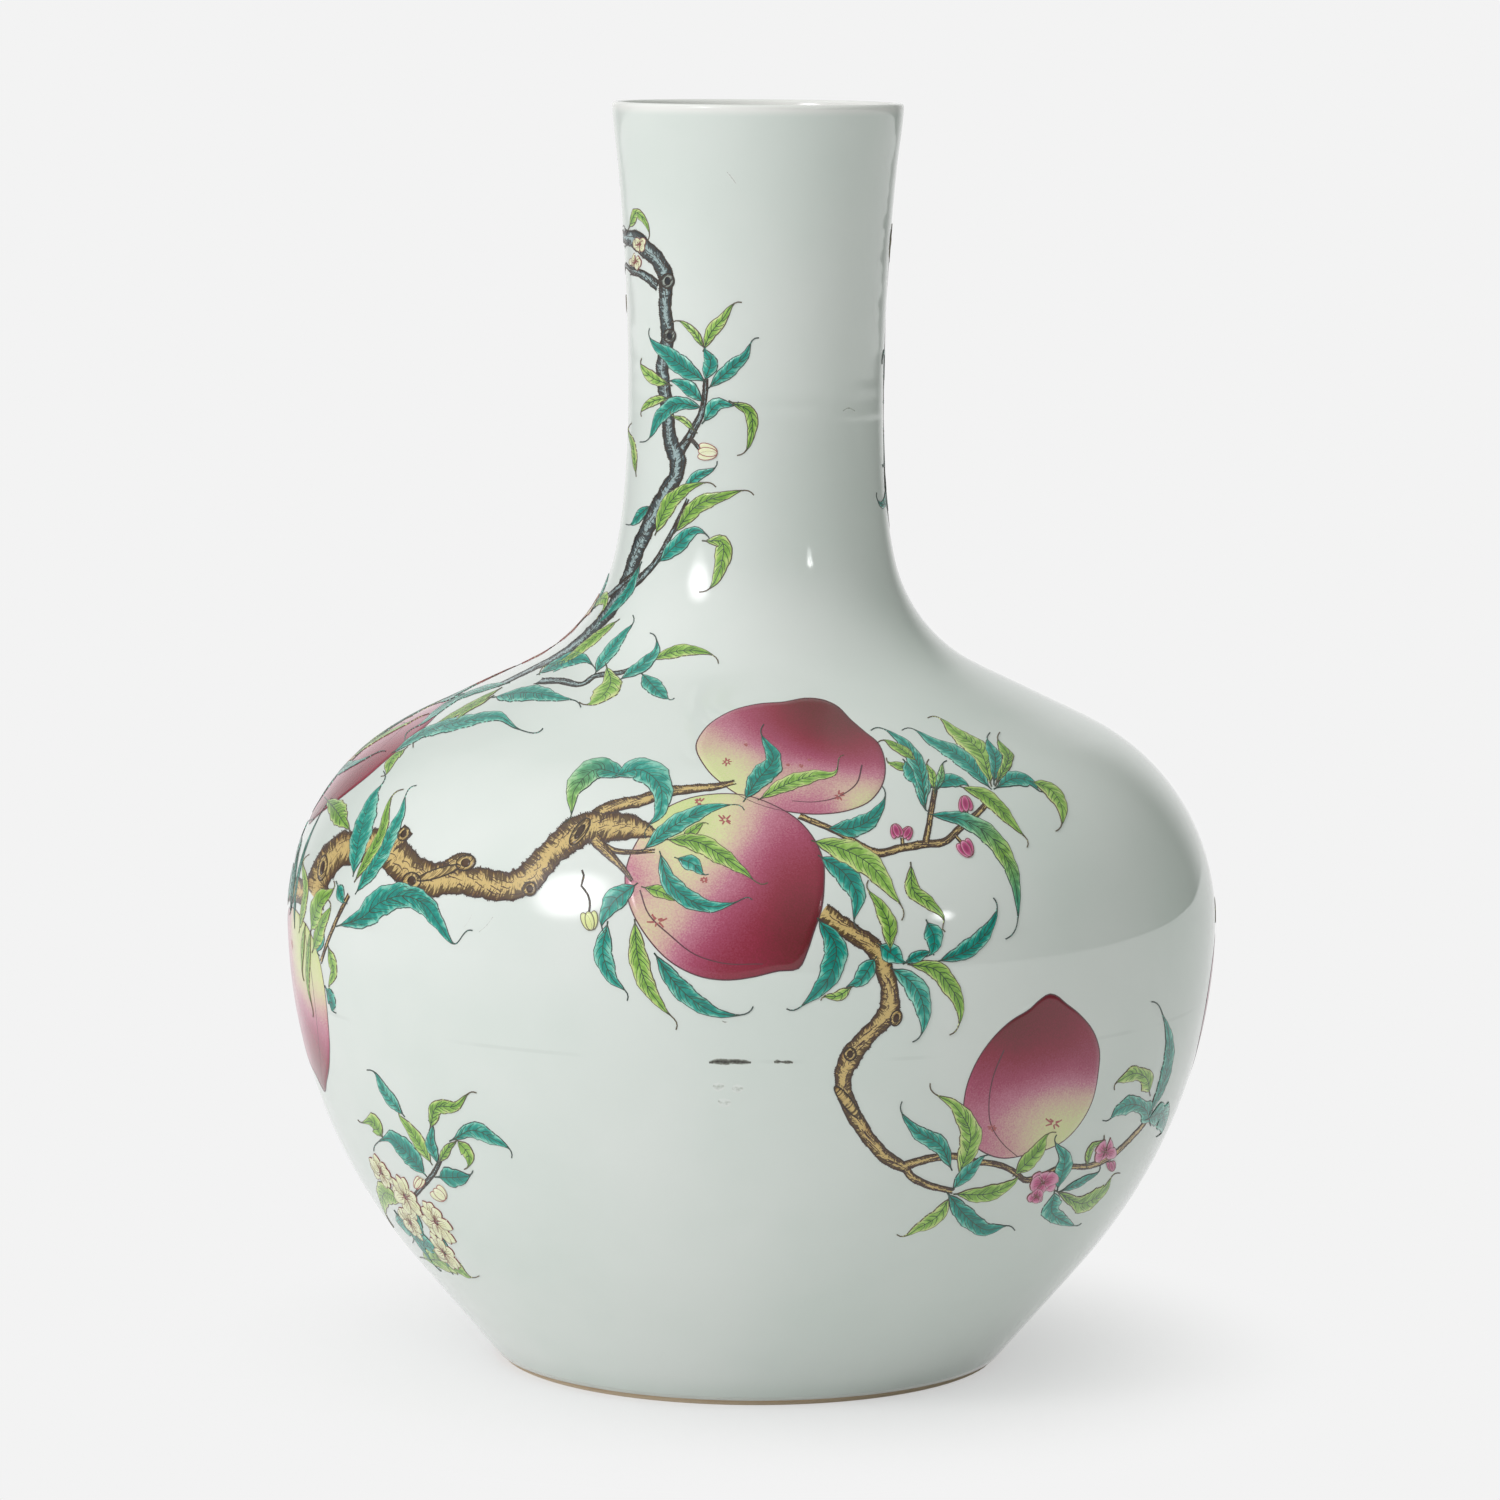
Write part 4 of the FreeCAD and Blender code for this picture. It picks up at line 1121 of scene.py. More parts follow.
# Peaches: outline and heart on a page, blushes of x, y and depth, creases and blossom scars.
PEACHES = [
    {
        "outline": [(696, 745), (704, 730), (727, 713), (758, 704), (783, 702), (809, 698), (824, 700),
            (837, 706), (850, 719), (865, 732), (878, 743), (885, 763), (883, 783), (870, 801),
            (850, 810), (824, 814), (790, 812), (755, 803), (725, 786), (706, 768)],
        "heart": (796, 757),
        "blush": [(705, 732, 0.42), (735, 722, 0.6), (763, 722, 0.82), (800, 718, 0.98), (830, 722, 1.0),
            (800, 740, 0.93), (840, 742, 0.96), (860, 750, 0.95), (878, 765, 0.76), (768, 740, 0.62),
            (735, 742, 0.34), (706, 752, 0.12), (727, 765, 0.02), (715, 772, 0.04), (760, 765, 0.12),
            (795, 768, 0.14), (835, 778, 0.1), (870, 783, 0.05), (745, 785, 0.08), (800, 790, 0.12),
            (798, 803, 0.68), (825, 803, 0.6), (862, 798, 0.06), (770, 800, 0.5)],
        "creases": [[(862, 765), (857, 783), (842, 795), (814, 802), (792, 801)]],
        "scars": [(727, 762, 13), (788, 765, 4), (801, 766, 5), (809, 760, 4), (839, 796, 14),
            (746, 745, 4)],
        "coat": 0,
    },
    {
        "outline": [(625, 878), (630, 856), (640, 837), (658, 814), (684, 800), (717, 794), (748, 796),
            (773, 805), (799, 821), (814, 839), (823, 860), (824, 885), (821, 911), (814, 931),
            (807, 952), (799, 968), (778, 971), (753, 977), (727, 980), (702, 977), (671, 962),
            (645, 934), (630, 906)],
        "heart": (726, 888),
        "blush": [(645, 843, 0.12), (684, 812, 0.02), (712, 812, 0.06), (745, 812, 0.2), (704, 838, 0.04),
            (700, 855, 0.1), (735, 838, 0.3), (773, 824, 0.48), (799, 840, 0.58), (735, 875, 0.42),
            (765, 862, 0.6), (790, 870, 0.74), (814, 875, 0.86), (706, 880, 0.32), (680, 860, 0.12),
            (640, 872, 0.52), (632, 888, 0.5), (653, 913, 0.1), (668, 893, 0.16), (690, 915, 0.34),
            (671, 928, 0.26), (709, 930, 0.56), (748, 926, 0.72), (735, 903, 0.56), (770, 905, 0.8),
            (790, 900, 0.93), (808, 925, 0.98), (790, 945, 0.97), (765, 950, 0.86), (735, 955, 0.78),
            (700, 952, 0.7), (730, 974, 0.82), (684, 947, 0.5), (658, 936, 0.2)],
        "creases": [[(640, 890), (648, 913), (671, 936), (694, 954), (722, 963), (763, 964)]],
        "scars": [(725, 820, 17), (657, 921, 22), (699, 802, 14), (704, 880, 9)],
        "coat": 1,
    },
    {
        "outline": [(1050, 994), (1041, 999), (1030, 1009), (1011, 1021), (989, 1043), (974, 1067),
            (965, 1094), (964, 1118), (974, 1145), (987, 1154), (1001, 1158), (1025, 1155), (1045, 1150),
            (1062, 1142), (1079, 1125), (1091, 1104), (1098, 1074), (1099, 1048), (1093, 1031),
            (1079, 1014), (1064, 1002), (1057, 996)],
        "heart": (1030, 1080),
        "blush": [(1050, 1002, 0.9), (1030, 1020, 0.95), (1012, 1028, 1.0), (1000, 1044, 0.96),
            (1030, 1034, 0.97), (1055, 1024, 0.9), (1080, 1034, 0.8), (1092, 1056, 0.68),
            (985, 1062, 0.76), (1050, 1050, 0.76), (1015, 1058, 0.74), (990, 1082, 0.6),
            (974, 1092, 0.58), (1030, 1075, 0.6), (1074, 1072, 0.56), (975, 1112, 0.46),
            (1010, 1104, 0.42), (1040, 1092, 0.42), (1062, 1106, 0.16), (1086, 1100, 0.2),
            (1040, 1116, 0.18), (1000, 1120, 0.34), (1038, 1134, 0.06), (1074, 1128, 0.04),
            (1018, 1137, 0.38), (1001, 1148, 0.44), (982, 1140, 0.42), (1040, 1146, 0.1)],
        "creases": [[(1004, 1050), (994, 1074), (989, 1101), (991, 1125), (1004, 1145), (1018, 1157)]],
        "scars": [(1054, 1123, 19), (992, 1128, 10)],
        "coat": 0,
    },
    {
        "turn": -70,
        "outline": [(735, 975), (765, 983), (792, 1003), (805, 1036), (804, 1070), (796, 1096),
            (778, 1121), (752, 1140), (722, 1155), (696, 1142), (660, 1132), (627, 1110), (605, 1074),
            (600, 1034), (612, 1000), (640, 978), (672, 971), (706, 970)],
        "heart": (705, 1058),
        "blush": [(735, 985, 0.02), (770, 1000, 0.04), (790, 1030, 0.1), (700, 985, 0.1),
            (660, 985, 0.42), (625, 1000, 0.48), (740, 1030, 0.06), (780, 1060, 0.2), (750, 1060, 0.24),
            (700, 1030, 0.2), (660, 1040, 0.4), (615, 1050, 0.5), (720, 1080, 0.56), (770, 1090, 0.7),
            (790, 1080, 0.4), (740, 1110, 0.86), (755, 1130, 0.84), (722, 1140, 0.96), (690, 1120, 0.62),
            (650, 1110, 0.56), (620, 1090, 0.5), (680, 1080, 0.42)],
        "creases": [[(752, 990), (768, 1030), (766, 1080), (748, 1120), (726, 1148)]],
        "scars": [(680, 1010, 16)],
        "coat": 0,
    },
    {
        "turn": -90,
        "outline": [(766, 738), (815, 747), (862, 763), (892, 787), (899, 812), (885, 838), (860, 857),
            (832, 873), (804, 886), (774, 880), (745, 866), (722, 843), (708, 815), (706, 785),
            (718, 758), (740, 742)],
        "heart": (800, 808),
        "blush": [(766, 745, 0.56), (815, 755, 0.66), (862, 772, 0.74), (890, 800, 0.8), (870, 840, 0.86),
            (830, 865, 0.94), (804, 878, 0.98), (820, 800, 0.74), (840, 820, 0.84), (790, 770, 0.52),
            (760, 800, 0.3), (730, 780, 0.16), (715, 800, 0.08), (735, 830, 0.2), (765, 855, 0.46),
            (790, 830, 0.6)],
        "creases": [[(722, 790), (760, 770), (810, 772), (850, 800), (850, 840), (812, 878)]],
        "scars": [(742, 800, 18), (780, 806, 9)],
        "coat": 0,
    },
    {
        "turn": -130,
        "outline": [(700, 872), (736, 858), (776, 862), (808, 884), (824, 920), (818, 956), (800, 988),
            (772, 1010), (742, 1030), (716, 1012), (684, 1000), (656, 974), (644, 940), (652, 904),
            (672, 884)],
        "heart": (735, 940),
        "blush": [(700, 882, 0.06), (740, 872, 0.02), (780, 880, 0.2), (810, 910, 0.46), (670, 905, 0.3),
            (655, 940, 0.52), (700, 920, 0.16), (740, 920, 0.3), (780, 930, 0.56), (805, 950, 0.72),
            (690, 960, 0.62), (740, 965, 0.74), (775, 980, 0.9), (742, 1010, 1.0), (715, 995, 0.9),
            (675, 975, 0.7)],
        "creases": [[(735, 866), (772, 900), (782, 950), (764, 996), (744, 1024)]],
        "scars": [(705, 905, 17), (746, 900, 10)],
        "coat": 1,
    },
    {
        "turn": -130,
        "outline": [(450, 960), (486, 958), (520, 974), (540, 1006), (540, 1044), (520, 1080),
            (488, 1104), (450, 1122), (426, 1098), (398, 1076), (386, 1040), (394, 1000), (418, 972)],
        "heart": (464, 1036),
        "blush": [(450, 970, 0.04), (490, 972, 0.1), (525, 1000, 0.34), (400, 1010, 0.4),
            (440, 1000, 0.14), (480, 1010, 0.24), (530, 1040, 0.56), (395, 1045, 0.62), (440, 1040, 0.5),
            (490, 1050, 0.66), (510, 1080, 0.84), (450, 1080, 0.82), (450, 1110, 1.0), (420, 1080, 0.84)],
        "creases": [[(446, 966), (418, 1000), (414, 1050), (430, 1090), (448, 1116)]],
        "scars": [(490, 1000, 16)],
        "coat": 0,
    },
    {
        "turn": 180,
        "outline": [(600, 978), (640, 984), (672, 1008), (688, 1044), (682, 1082), (658, 1112),
            (624, 1132), (586, 1148), (560, 1122), (532, 1096), (522, 1058), (532, 1018), (560, 990)],
        "heart": (606, 1060),
        "blush": [(600, 990, 0.1), (645, 1000, 0.04), (676, 1040, 0.2), (545, 1020, 0.46),
            (590, 1030, 0.26), (630, 1040, 0.14), (532, 1060, 0.7), (580, 1070, 0.6), (625, 1080, 0.44),
            (665, 1090, 0.4), (560, 1105, 0.9), (600, 1110, 0.84), (586, 1135, 1.0), (635, 1115, 0.66)],
        "creases": [[(604, 984), (652, 1020), (664, 1066), (636, 1110), (594, 1142)]],
        "scars": [(646, 1062, 18), (594, 1006, 9)],
        "coat": 0,
    },
    {
        "turn": 95,
        "outline": [(700, 1000), (736, 1002), (768, 1024), (784, 1060), (778, 1098), (752, 1126),
            (718, 1144), (680, 1160), (656, 1132), (630, 1106), (620, 1068), (630, 1030), (660, 1006)],
        "heart": (704, 1076),
        "blush": [(700, 1010, 0.1), (740, 1020, 0.04), (770, 1056, 0.2), (645, 1030, 0.5),
            (690, 1044, 0.26), (730, 1056, 0.14), (628, 1070, 0.72), (676, 1084, 0.6), (722, 1094, 0.44),
            (760, 1100, 0.4), (652, 1118, 0.9), (694, 1124, 0.84), (680, 1150, 1.0), (730, 1126, 0.66)],
        "creases": [[(694, 1006), (652, 1040), (640, 1080), (654, 1122), (676, 1154)]],
        "scars": [(744, 1076, 18)],
        "coat": 0,
    },
]

# Open blossoms: turn, x, y, size, petals and kind.
FLOWERS = [
    (0, 1042, 1182, 30, 6, "rose"), (0, 1036, 1196, 16, 5, "rose"), (0, 1105, 1151, 24, 5, "rose"),
    (-45, 634, 1214, 46, 9, "white"), (-45, 668, 1234, 52, 10, "white"),
    (-45, 708, 1254, 50, 10, "white"), (-45, 648, 1262, 44, 9, "white"), (-45, 690, 1286, 42, 9, "white"),
    (0, 640, 244, 14, 5, "white"), (0, 636, 262, 12, 5, "white"), (-70, 700, 622, 34, 7, "white"),
    (-70, 672, 650, 38, 8, "white"), (-70, 640, 678, 34, 7, "white"), (-70, 610, 712, 30, 7, "white"),
    (-130, 968, 1210, 40, 8, "white"), (-130, 1004, 1192, 34, 7, "white"),
    (-130, 922, 1176, 26, 6, "white"), (-130, 700, 800, 30, 6, "rose"), (-130, 634, 880, 24, 5, "rose"),
    (-130, 368, 894, 28, 6, "rose"), (180, 402, 1166, 32, 6, "rose"), (180, 480, 836, 28, 6, "rose"),
    (180, 748, 250, 22, 6, "white"), (180, 640, 650, 24, 6, "white"), (95, 884, 806, 28, 6, "rose"),
    (95, 838, 934, 24, 5, "rose"), (110, 800, 1196, 30, 6, "rose"), (100, 744, 246, 20, 6, "white"),
]

# Buds: turn, x, y, size, heading in degrees and kind.
BUDS = [
    (0, 896, 831, 14, -110, "rose"), (0, 907, 833, 13, -60, "rose"), (0, 965, 804, 16, -100, "rose"),
    (0, 966, 849, 18, 60, "rose"), (0, 1111, 1166, 10, 80, "rose"), (0, 708, 452, 19, 8, "white"),
    (0, 440, 1194, 16, 45, "white"), (0, 590, 921, 19, 80, "green"), (0, 419, 1183, 12, 120, "white"),
    (-130, 690, 846, 14, 120, "rose"), (-130, 948, 1134, 14, 60, "white"),
    (-130, 1024, 806, 14, -40, "white"), (180, 430, 1118, 15, -20, "rose"),
    (180, 520, 876, 14, -120, "rose"), (180, 778, 420, 13, -40, "white"), (95, 916, 846, 14, -30, "rose"),
    (95, 1064, 890, 14, -80, "rose"), (110, 850, 1164, 14, 60, "rose"), (100, 756, 330, 12, -20, "white"),
    (-90, 716, 176, 13, -30, "white"), (-90, 748, 640, 13, 100, "white"),
]

# Kiln marks: how faint, then knots of x, y and width.
FLAWS = [
    (0.1, [(709, 1062.5, 2), (716, 1061.5, 5), (725, 1062, 6), (734, 1061.5, 4.5), (742, 1062, 5),
        (751, 1062.5, 2)]),
    (0.15, [(774, 1062, 2), (778, 1061.5, 4), (782, 1062, 1.5), (787, 1062, 4), (793, 1062.5, 2)]),
    (0.7, [(713, 1086, 4), (718, 1087, 9), (724, 1086, 4)]),
    (0.72, [(732, 1088, 4), (737, 1089, 9), (743, 1088, 4)]),
    (0.78, [(718, 1101, 4), (724, 1103, 9), (731, 1102, 4)]),
    (0.5, [(722, 1021, 1.5), (725, 1022, 2.5), (728, 1022, 1.5)]),
    (0.62, [(479, 932, 1), (486, 926, 1.8), (493, 917, 1)]),
    (0.75, [(464, 927, 1), (468, 922, 1.6), (472, 915, 1)]),
    (0.5, [(843, 411, 1.5), (848, 408, 2), (855, 411, 1.5)]),
    (0.62, [(727, 172, 1), (732, 178, 3), (736, 184, 1)]),
]

# Blush of a peach from none to full, as a place on the ramp and a colour.
PEACH_BLUSH = [
    (0.0, 198, 216, 140), (0.14, 216, 218, 164), (0.28, 212, 180, 164), (0.42, 192, 122, 142),
    (0.58, 166, 74, 102), (0.78, 142, 44, 64), (1.0, 104, 46, 46),
]

# Inks of the lines: green and olive for leaves, maroon to brown for fruit and blossom, then bark.
INKS = [
    (VEIN_INK, 26, 66, 48), (JADE_INK, 52, 74, 72), (LIME_INK, 96, 86, 68), (PEACH_INK, 88, 44, 60),
    (SCAR_INK, 176, 90, 90), (0.82, 98, 62, 56), (BARK_INK, 40, 28, 20),
]

# Kiln dirt from thick to faint.
KILN_DIRT = [(0.0, 46, 44, 40), (0.4, 110, 112, 102), (0.8, 196, 203, 195)]


class Signal:
    """Output of a shader node. Arithmetic on it adds Math nodes."""

    def __init__(self, finish, node, name=None):
        self.finish = finish
        self.node = node
        outputs = [socket for socket in node.outputs if socket.enabled]
        self.socket = next((socket for socket in outputs if socket.name == name), outputs[0])

    def output(self, name):
        return Signal(self.finish, self.node, name)

    def maths(self, operation, first, second):
        return self.finish.add("Math", {"operation": operation}, {0: first, 1: second})

    def __add__(self, other):
        return self.maths("ADD", self, other)

    def __sub__(self, other):
        return self.maths("SUBTRACT", self, other)

    def __rsub__(self, other):
        return self.maths("SUBTRACT", other, self)

    def __mul__(self, other):
        return self.maths("MULTIPLY", self, other)

    def __pow__(self, other):
        return self.maths("POWER", self, other)

    def __abs__(self):
        return self.maths("ABSOLUTE", self, 0.0)

    __radd__ = __add__
    __rmul__ = __mul__

    def between(self, low, high):
        """0 below low, 1 above high, and smooth from one to the other."""
        return self.finish.add(
            "MapRange", {"interpolation_type": "SMOOTHSTEP"},
            {"Value": self, "From Min": low, "From Max": high},
        )


class Finish:
    """Material, world or lamp in the making. All its nodes are added in one way."""

    def __init__(self, owner):
        owner.use_nodes = True
        self.owner = owner
        self.tree = owner.node_tree
        self.tree.nodes.clear()

    def add(self, kind, settings=None, sockets=None):
        node = self.tree.nodes.new("ShaderNode" + kind)
        for key, value in (settings or {}).items():
            if key == "stops":
                self.set_stops(node.color_ramp, value)
            else:
                setattr(node, key, value)
        for key, value in (sockets or {}).items():
            if isinstance(key, int):
                socket = node.inputs[key]
            else:
                socket = next(one for one in node.inputs if one.name == key and one.enabled)
            if isinstance(value, Signal):
                self.tree.links.new(value.socket, socket)
            elif socket.type == "RGBA":
                socket.default_value = (*value[:3], 1.0)
            else:
                socket.default_value = value
        return Signal(self, node) if node.outputs else node

    @staticmethod
    def set_stops(ramp, stops):
        while len(ramp.elements) < len(stops):
            ramp.elements.new(1.0)
        for element, (place, colour) in zip(ramp.elements, stops):
            element.position = place
            element.color = (*colour[:3], 1.0)

    def coordinates(self):
        return self.add("TexCoord").output("Object")

    def axes(self, place=None):
        parts = self.add("SeparateXYZ", {}, {"Vector": place or self.coordinates()})
        return [parts.output(axis) for axis in "XYZ"]

    def attribute(self, name):
        return self.add("Attribute", {"attribute_name": name}).output("Fac")

    def noise(self, scale, detail=2.0, roughness=0.5, place=None):
        sockets = {"Scale": scale, "Detail": detail, "Roughness": roughness}
        sockets["Vector"] = place or self.coordinates()
        return self.add("TexNoise", {}, sockets).output("Fac")

    def most(self, first, *others):
        """The largest of some signals."""
        for other in others:
            first = first.maths("MAXIMUM", first, other)
        return first

    def blend(self, factor, first, second):
        return self.add("Mix", {"data_type": "RGBA"}, {"Factor": factor, "A": first, "B": second})

    def ramp(self, value, stops):
        return self.add("ValToRGB", {"stops": stops}, {"Fac": value})

    def painted(self, value, rows, *more):
        """Ramp over rows of a place and a swatch."""
        return self.ramp(value, [(place, paint(*colour)) for place, *colour in rows] + list(more))

    def bump(self, height, strength, distance):
        return self.add("Bump", {}, {"Height": height, "Strength": strength, "Distance": distance})

    def surface(self, shader):
        kinds = {bpy.types.World: "OutputWorld", bpy.types.AreaLight: "OutputLight"}
        self.add(kinds.get(type(self.owner), "OutputMaterial"), {}, {"Surface": shader})
        return self.owner

    def principled(self, colour, roughness, normal, **more):
        sockets = {"Base Color": colour, "Roughness": roughness, "Normal": normal, **more}
        return self.surface(self.add("BsdfPrincipled", {}, sockets))

    def enamel(self, colour, roughness=0.13):
        """Glassy enamel that stands a little proud, with small dimples."""
        normal = self.bump(self.noise(700.0), 0.12, 0.3 * MM)
        return self.principled(colour, self.noise(160.0) * 0.1 + roughness, normal, IOR=1.5)


def new_finish(name):
    return Finish(bpy.data.materials.new(name))


def glaze_finish(name, tint, pool):
    """Pale clear glaze: nearly even, with soft clouds, throwing rings and a few iron specks."""
    finish = new_finish(name)
    size, colour = sizes(), colours()
    across, back, height = finish.axes()
    clouds = finish.noise(9.0, 3.0).between(0.35, 0.7)
    foot = 1 - height.between(3 * MM, size.foot_wash)
    seam = 1 - ((height - size.seam_height) ** 2.0).between(0.0, (1.1 * MM) ** 2)
    patchy = finish.noise(26.0).between(0.42, 0.62)
    # Painted light: inside the mouth the glaze is painted whiter, over the shade of the hollow.
    radius = (across * across + back * back) ** 0.5
    inwards = 1 - radius.between(size.lap_radius, size.lap_radius + 1.2 * MM)
    bore = height.between(size.lap_height, size.lap_height + 0.5 * MM) * inwards
    # Painted highlight: the glaze turns whiter towards the top of the lip.
    lip = height.between(size.lip_highlight_height, size.lip_highlight_height + 4 * MM)
    cells = finish.add("TexVoronoi", {}, {"Vector": finish.coordinates(), "Scale": 46.0})
    rare = finish.add("SeparateColor", {}, {"Color": cells.output("Color")}).output("Red")
    speck = (1 - cells.output("Distance").between(0.012, 0.03)) * rare.between(0.93, 0.95)
    shade = finish.blend(clouds * 0.5, tint, pool)
    shade = finish.blend(foot * 0.55, shade, pool)
    shade = finish.blend(bore, shade, colour.bore)
    shade = finish.blend(lip * 0.8, shade, colour.lip)
    shade = finish.blend(seam * patchy * 0.11, shade, colour.seam)
    shade = finish.blend(speck * 0.7, shade, colour.speck)
    level = finish.add("Mapping", {}, {"Vector": finish.coordinates(), "Scale": (3.0, 3.0, 34.0)})
    rings = finish.noise(1.0, place=level)
    peel = finish.noise(130.0)
    return finish.principled(shade, 0.05, finish.bump(rings + peel * 0.01, 0.1, 4 * MM), IOR=1.5)


def clay_finish(name):
    """Bare fired clay of the foot, burnt at the glaze's edge."""
    finish = new_finish(name)
    height = finish.axes()[2]
    grain = finish.noise(420.0, 4.0, 0.7)
    stain = finish.noise(38.0, 3.0).between(0.35, 0.7)
    burn = height.between(0.8 * MM, 3 * MM) * (stain * 0.6 + 0.4)
    shade = finish.blend(grain * 0.25, colours().foot, colours().foot_grain)
    shade = finish.blend(burn, shade, colours().foot_burn)
    return finish.principled(shade, 0.72 + grain * 0.12, finish.bump(grain, 0.35, 0.4 * MM))


def slip_finish(name):
    finish = new_finish(name)
    grain = finish.noise(300.0, 4.0)
    shade = finish.blend(grain, colours().slip, colours().slip_grain)
    return finish.principled(shade, 0.8, finish.bump(grain, 0.3, 0.4 * MM))


def leaf_finish(name):
    """Leaf enamel, deep along the midrib and pale at the edges, with strokes that slant outwards."""
    finish = new_finish(name)
    colour = colours()
    hue, side = finish.attribute("hue"), finish.attribute("side")
    slant = finish.attribute("run") * 430.0 - abs(side) * 1.5
    way = finish.add("CombineXYZ", {}, {"X": slant, "Y": side * 0.8, "Z": hue * 7.0})
    strokes = finish.noise(1.0, 3.0, place=way).between(0.3, 0.7)
    wash = finish.noise(260.0, 3.0, 0.65).between(0.3, 0.7)
    tone = finish.attribute("tone") * 0.72 + strokes * 0.32 + wash * 0.26 - 0.2
    tone = tone.between(0.0, 1.0)
    lime = finish.ramp(tone, [(0.0, colour.lime_deep), (0.4, colour.lime), (1.0, colour.lime_pale)])
    jade = finish.ramp(tone, [(0.0, colour.jade_deep), (0.4, colour.jade), (1.0, colour.jade_pale)])
    return finish.enamel(finish.blend(hue, lime, jade))


def peach_finish(name):
    """Blush from cream and lime through rose to crimson and maroon, laid in fine dots."""
    finish = new_finish(name)
    dots = finish.noise(1500.0, 1.0) - 0.5
    cloud = finish.noise(60.0, 3.0) - 0.5
    depth = finish.attribute("blush") + dots * 0.24 + cloud * 0.08
    return finish.enamel(finish.painted(depth, PEACH_BLUSH), 0.1)


def bark_finish(name):
    """Ochre or old grey wash, dark along both sides, under fine hatching across the bough."""
    finish = new_finish(name)
    colour = colours()
    side, age = finish.attribute("side"), finish.attribute("age")
    reach = abs(side)
    wash = finish.noise(150.0, 3.0, 0.6) - 0.5
    tone = (1.1 - reach * reach * 0.75 + wash * 1.3).between(0.0, 1.0)
    brown = finish.ramp(tone, [(0.0, colour.bark_dark), (0.45, colour.bark), (1.0, colour.bark_pale)])
    grey = finish.ramp(
        tone, [(0.0, colour.lichen_dark), (0.5, colour.lichen), (1.0, colour.lichen_pale)]
    )
    run = finish.attribute("run") * 1000.0
    along = finish.add("CombineXYZ", {}, {"X": run + reach * 1.6, "Y": side * 1.1, "Z": age})
    strokes = finish.noise(0.95, 2.0, place=along)
    hairs = finish.noise(2.1, 1.0, place=along)
    cover = (reach * 0.9 + age * 0.18 + 0.04 + wash * 0.9).between(0.1, 0.95)
    hatch = (strokes + cover * 0.25 - 0.11).between(0.49, 0.55) * cover.between(0.0, 0.22)
    fine = (hairs + cover * 0.16 - 0.1).between(0.5, 0.56) * 0.75
    dark = finish.blend(age, colour.bark_hair, colour.lichen_hair)
    shade = finish.blend(finish.most(hatch, fine) * 0.88, finish.blend(age, brown, grey), dark)
    return finish.enamel(shade, 0.2)


def petal_finish(name):
    """White petals with a green heart at the ramp's start, and rose petals along the rest of it."""
    finish = new_finish(name)
    colour = colours()
    tint = (finish.attribute("tint") + (finish.noise(300.0) - 0.5) * 0.1).between(0.0, 1.0)
    stops = [
        (0.0, colour.petal_heart), (0.12, colour.petal), (0.42, colour.petal_blush),
        (0.75, colour.petal_rose), (1.0, colour.petal_deep),
    ]
    return finish.enamel(finish.ramp(tint, stops))


def ink_finish(name):
    """Outlines in the ink that the ink mark says, thin and pale in places."""
    finish = new_finish(name)
    ink = finish.painted(finish.attribute("ink"), INKS)
    return finish.enamel(finish.blend(finish.noise(500.0) * 0.3, ink, colours().ink_wash), 0.2)


def kiln_mark_finish(name):
    """Kiln dirt caught in the glaze, brown black where thick and nearly glaze where faint."""
    finish = new_finish(name)
    grain = finish.noise(900.0, 3.0, 0.7) - 0.5
    faint = (finish.attribute("faint") + grain * 0.9).between(0.0, 1.0)
    return finish.enamel(finish.painted(faint, KILN_DIRT, (1.0, colours().glaze)), 0.12)


def paint_pieces(marks, shapes, *pieces):
    """Lays shapes, each with its coat, in two pieces: the enamel, and the lines drawn on it."""
    films = Film(*marks), Film("ink")
    for shape, count in shapes:
        shape.lay(*films, coat(count))
        for film in films:
            film.keep()
    for film, (name, finish) in zip(films, pieces):
        film.finished(name, finish)
    return {"FINISHED"}


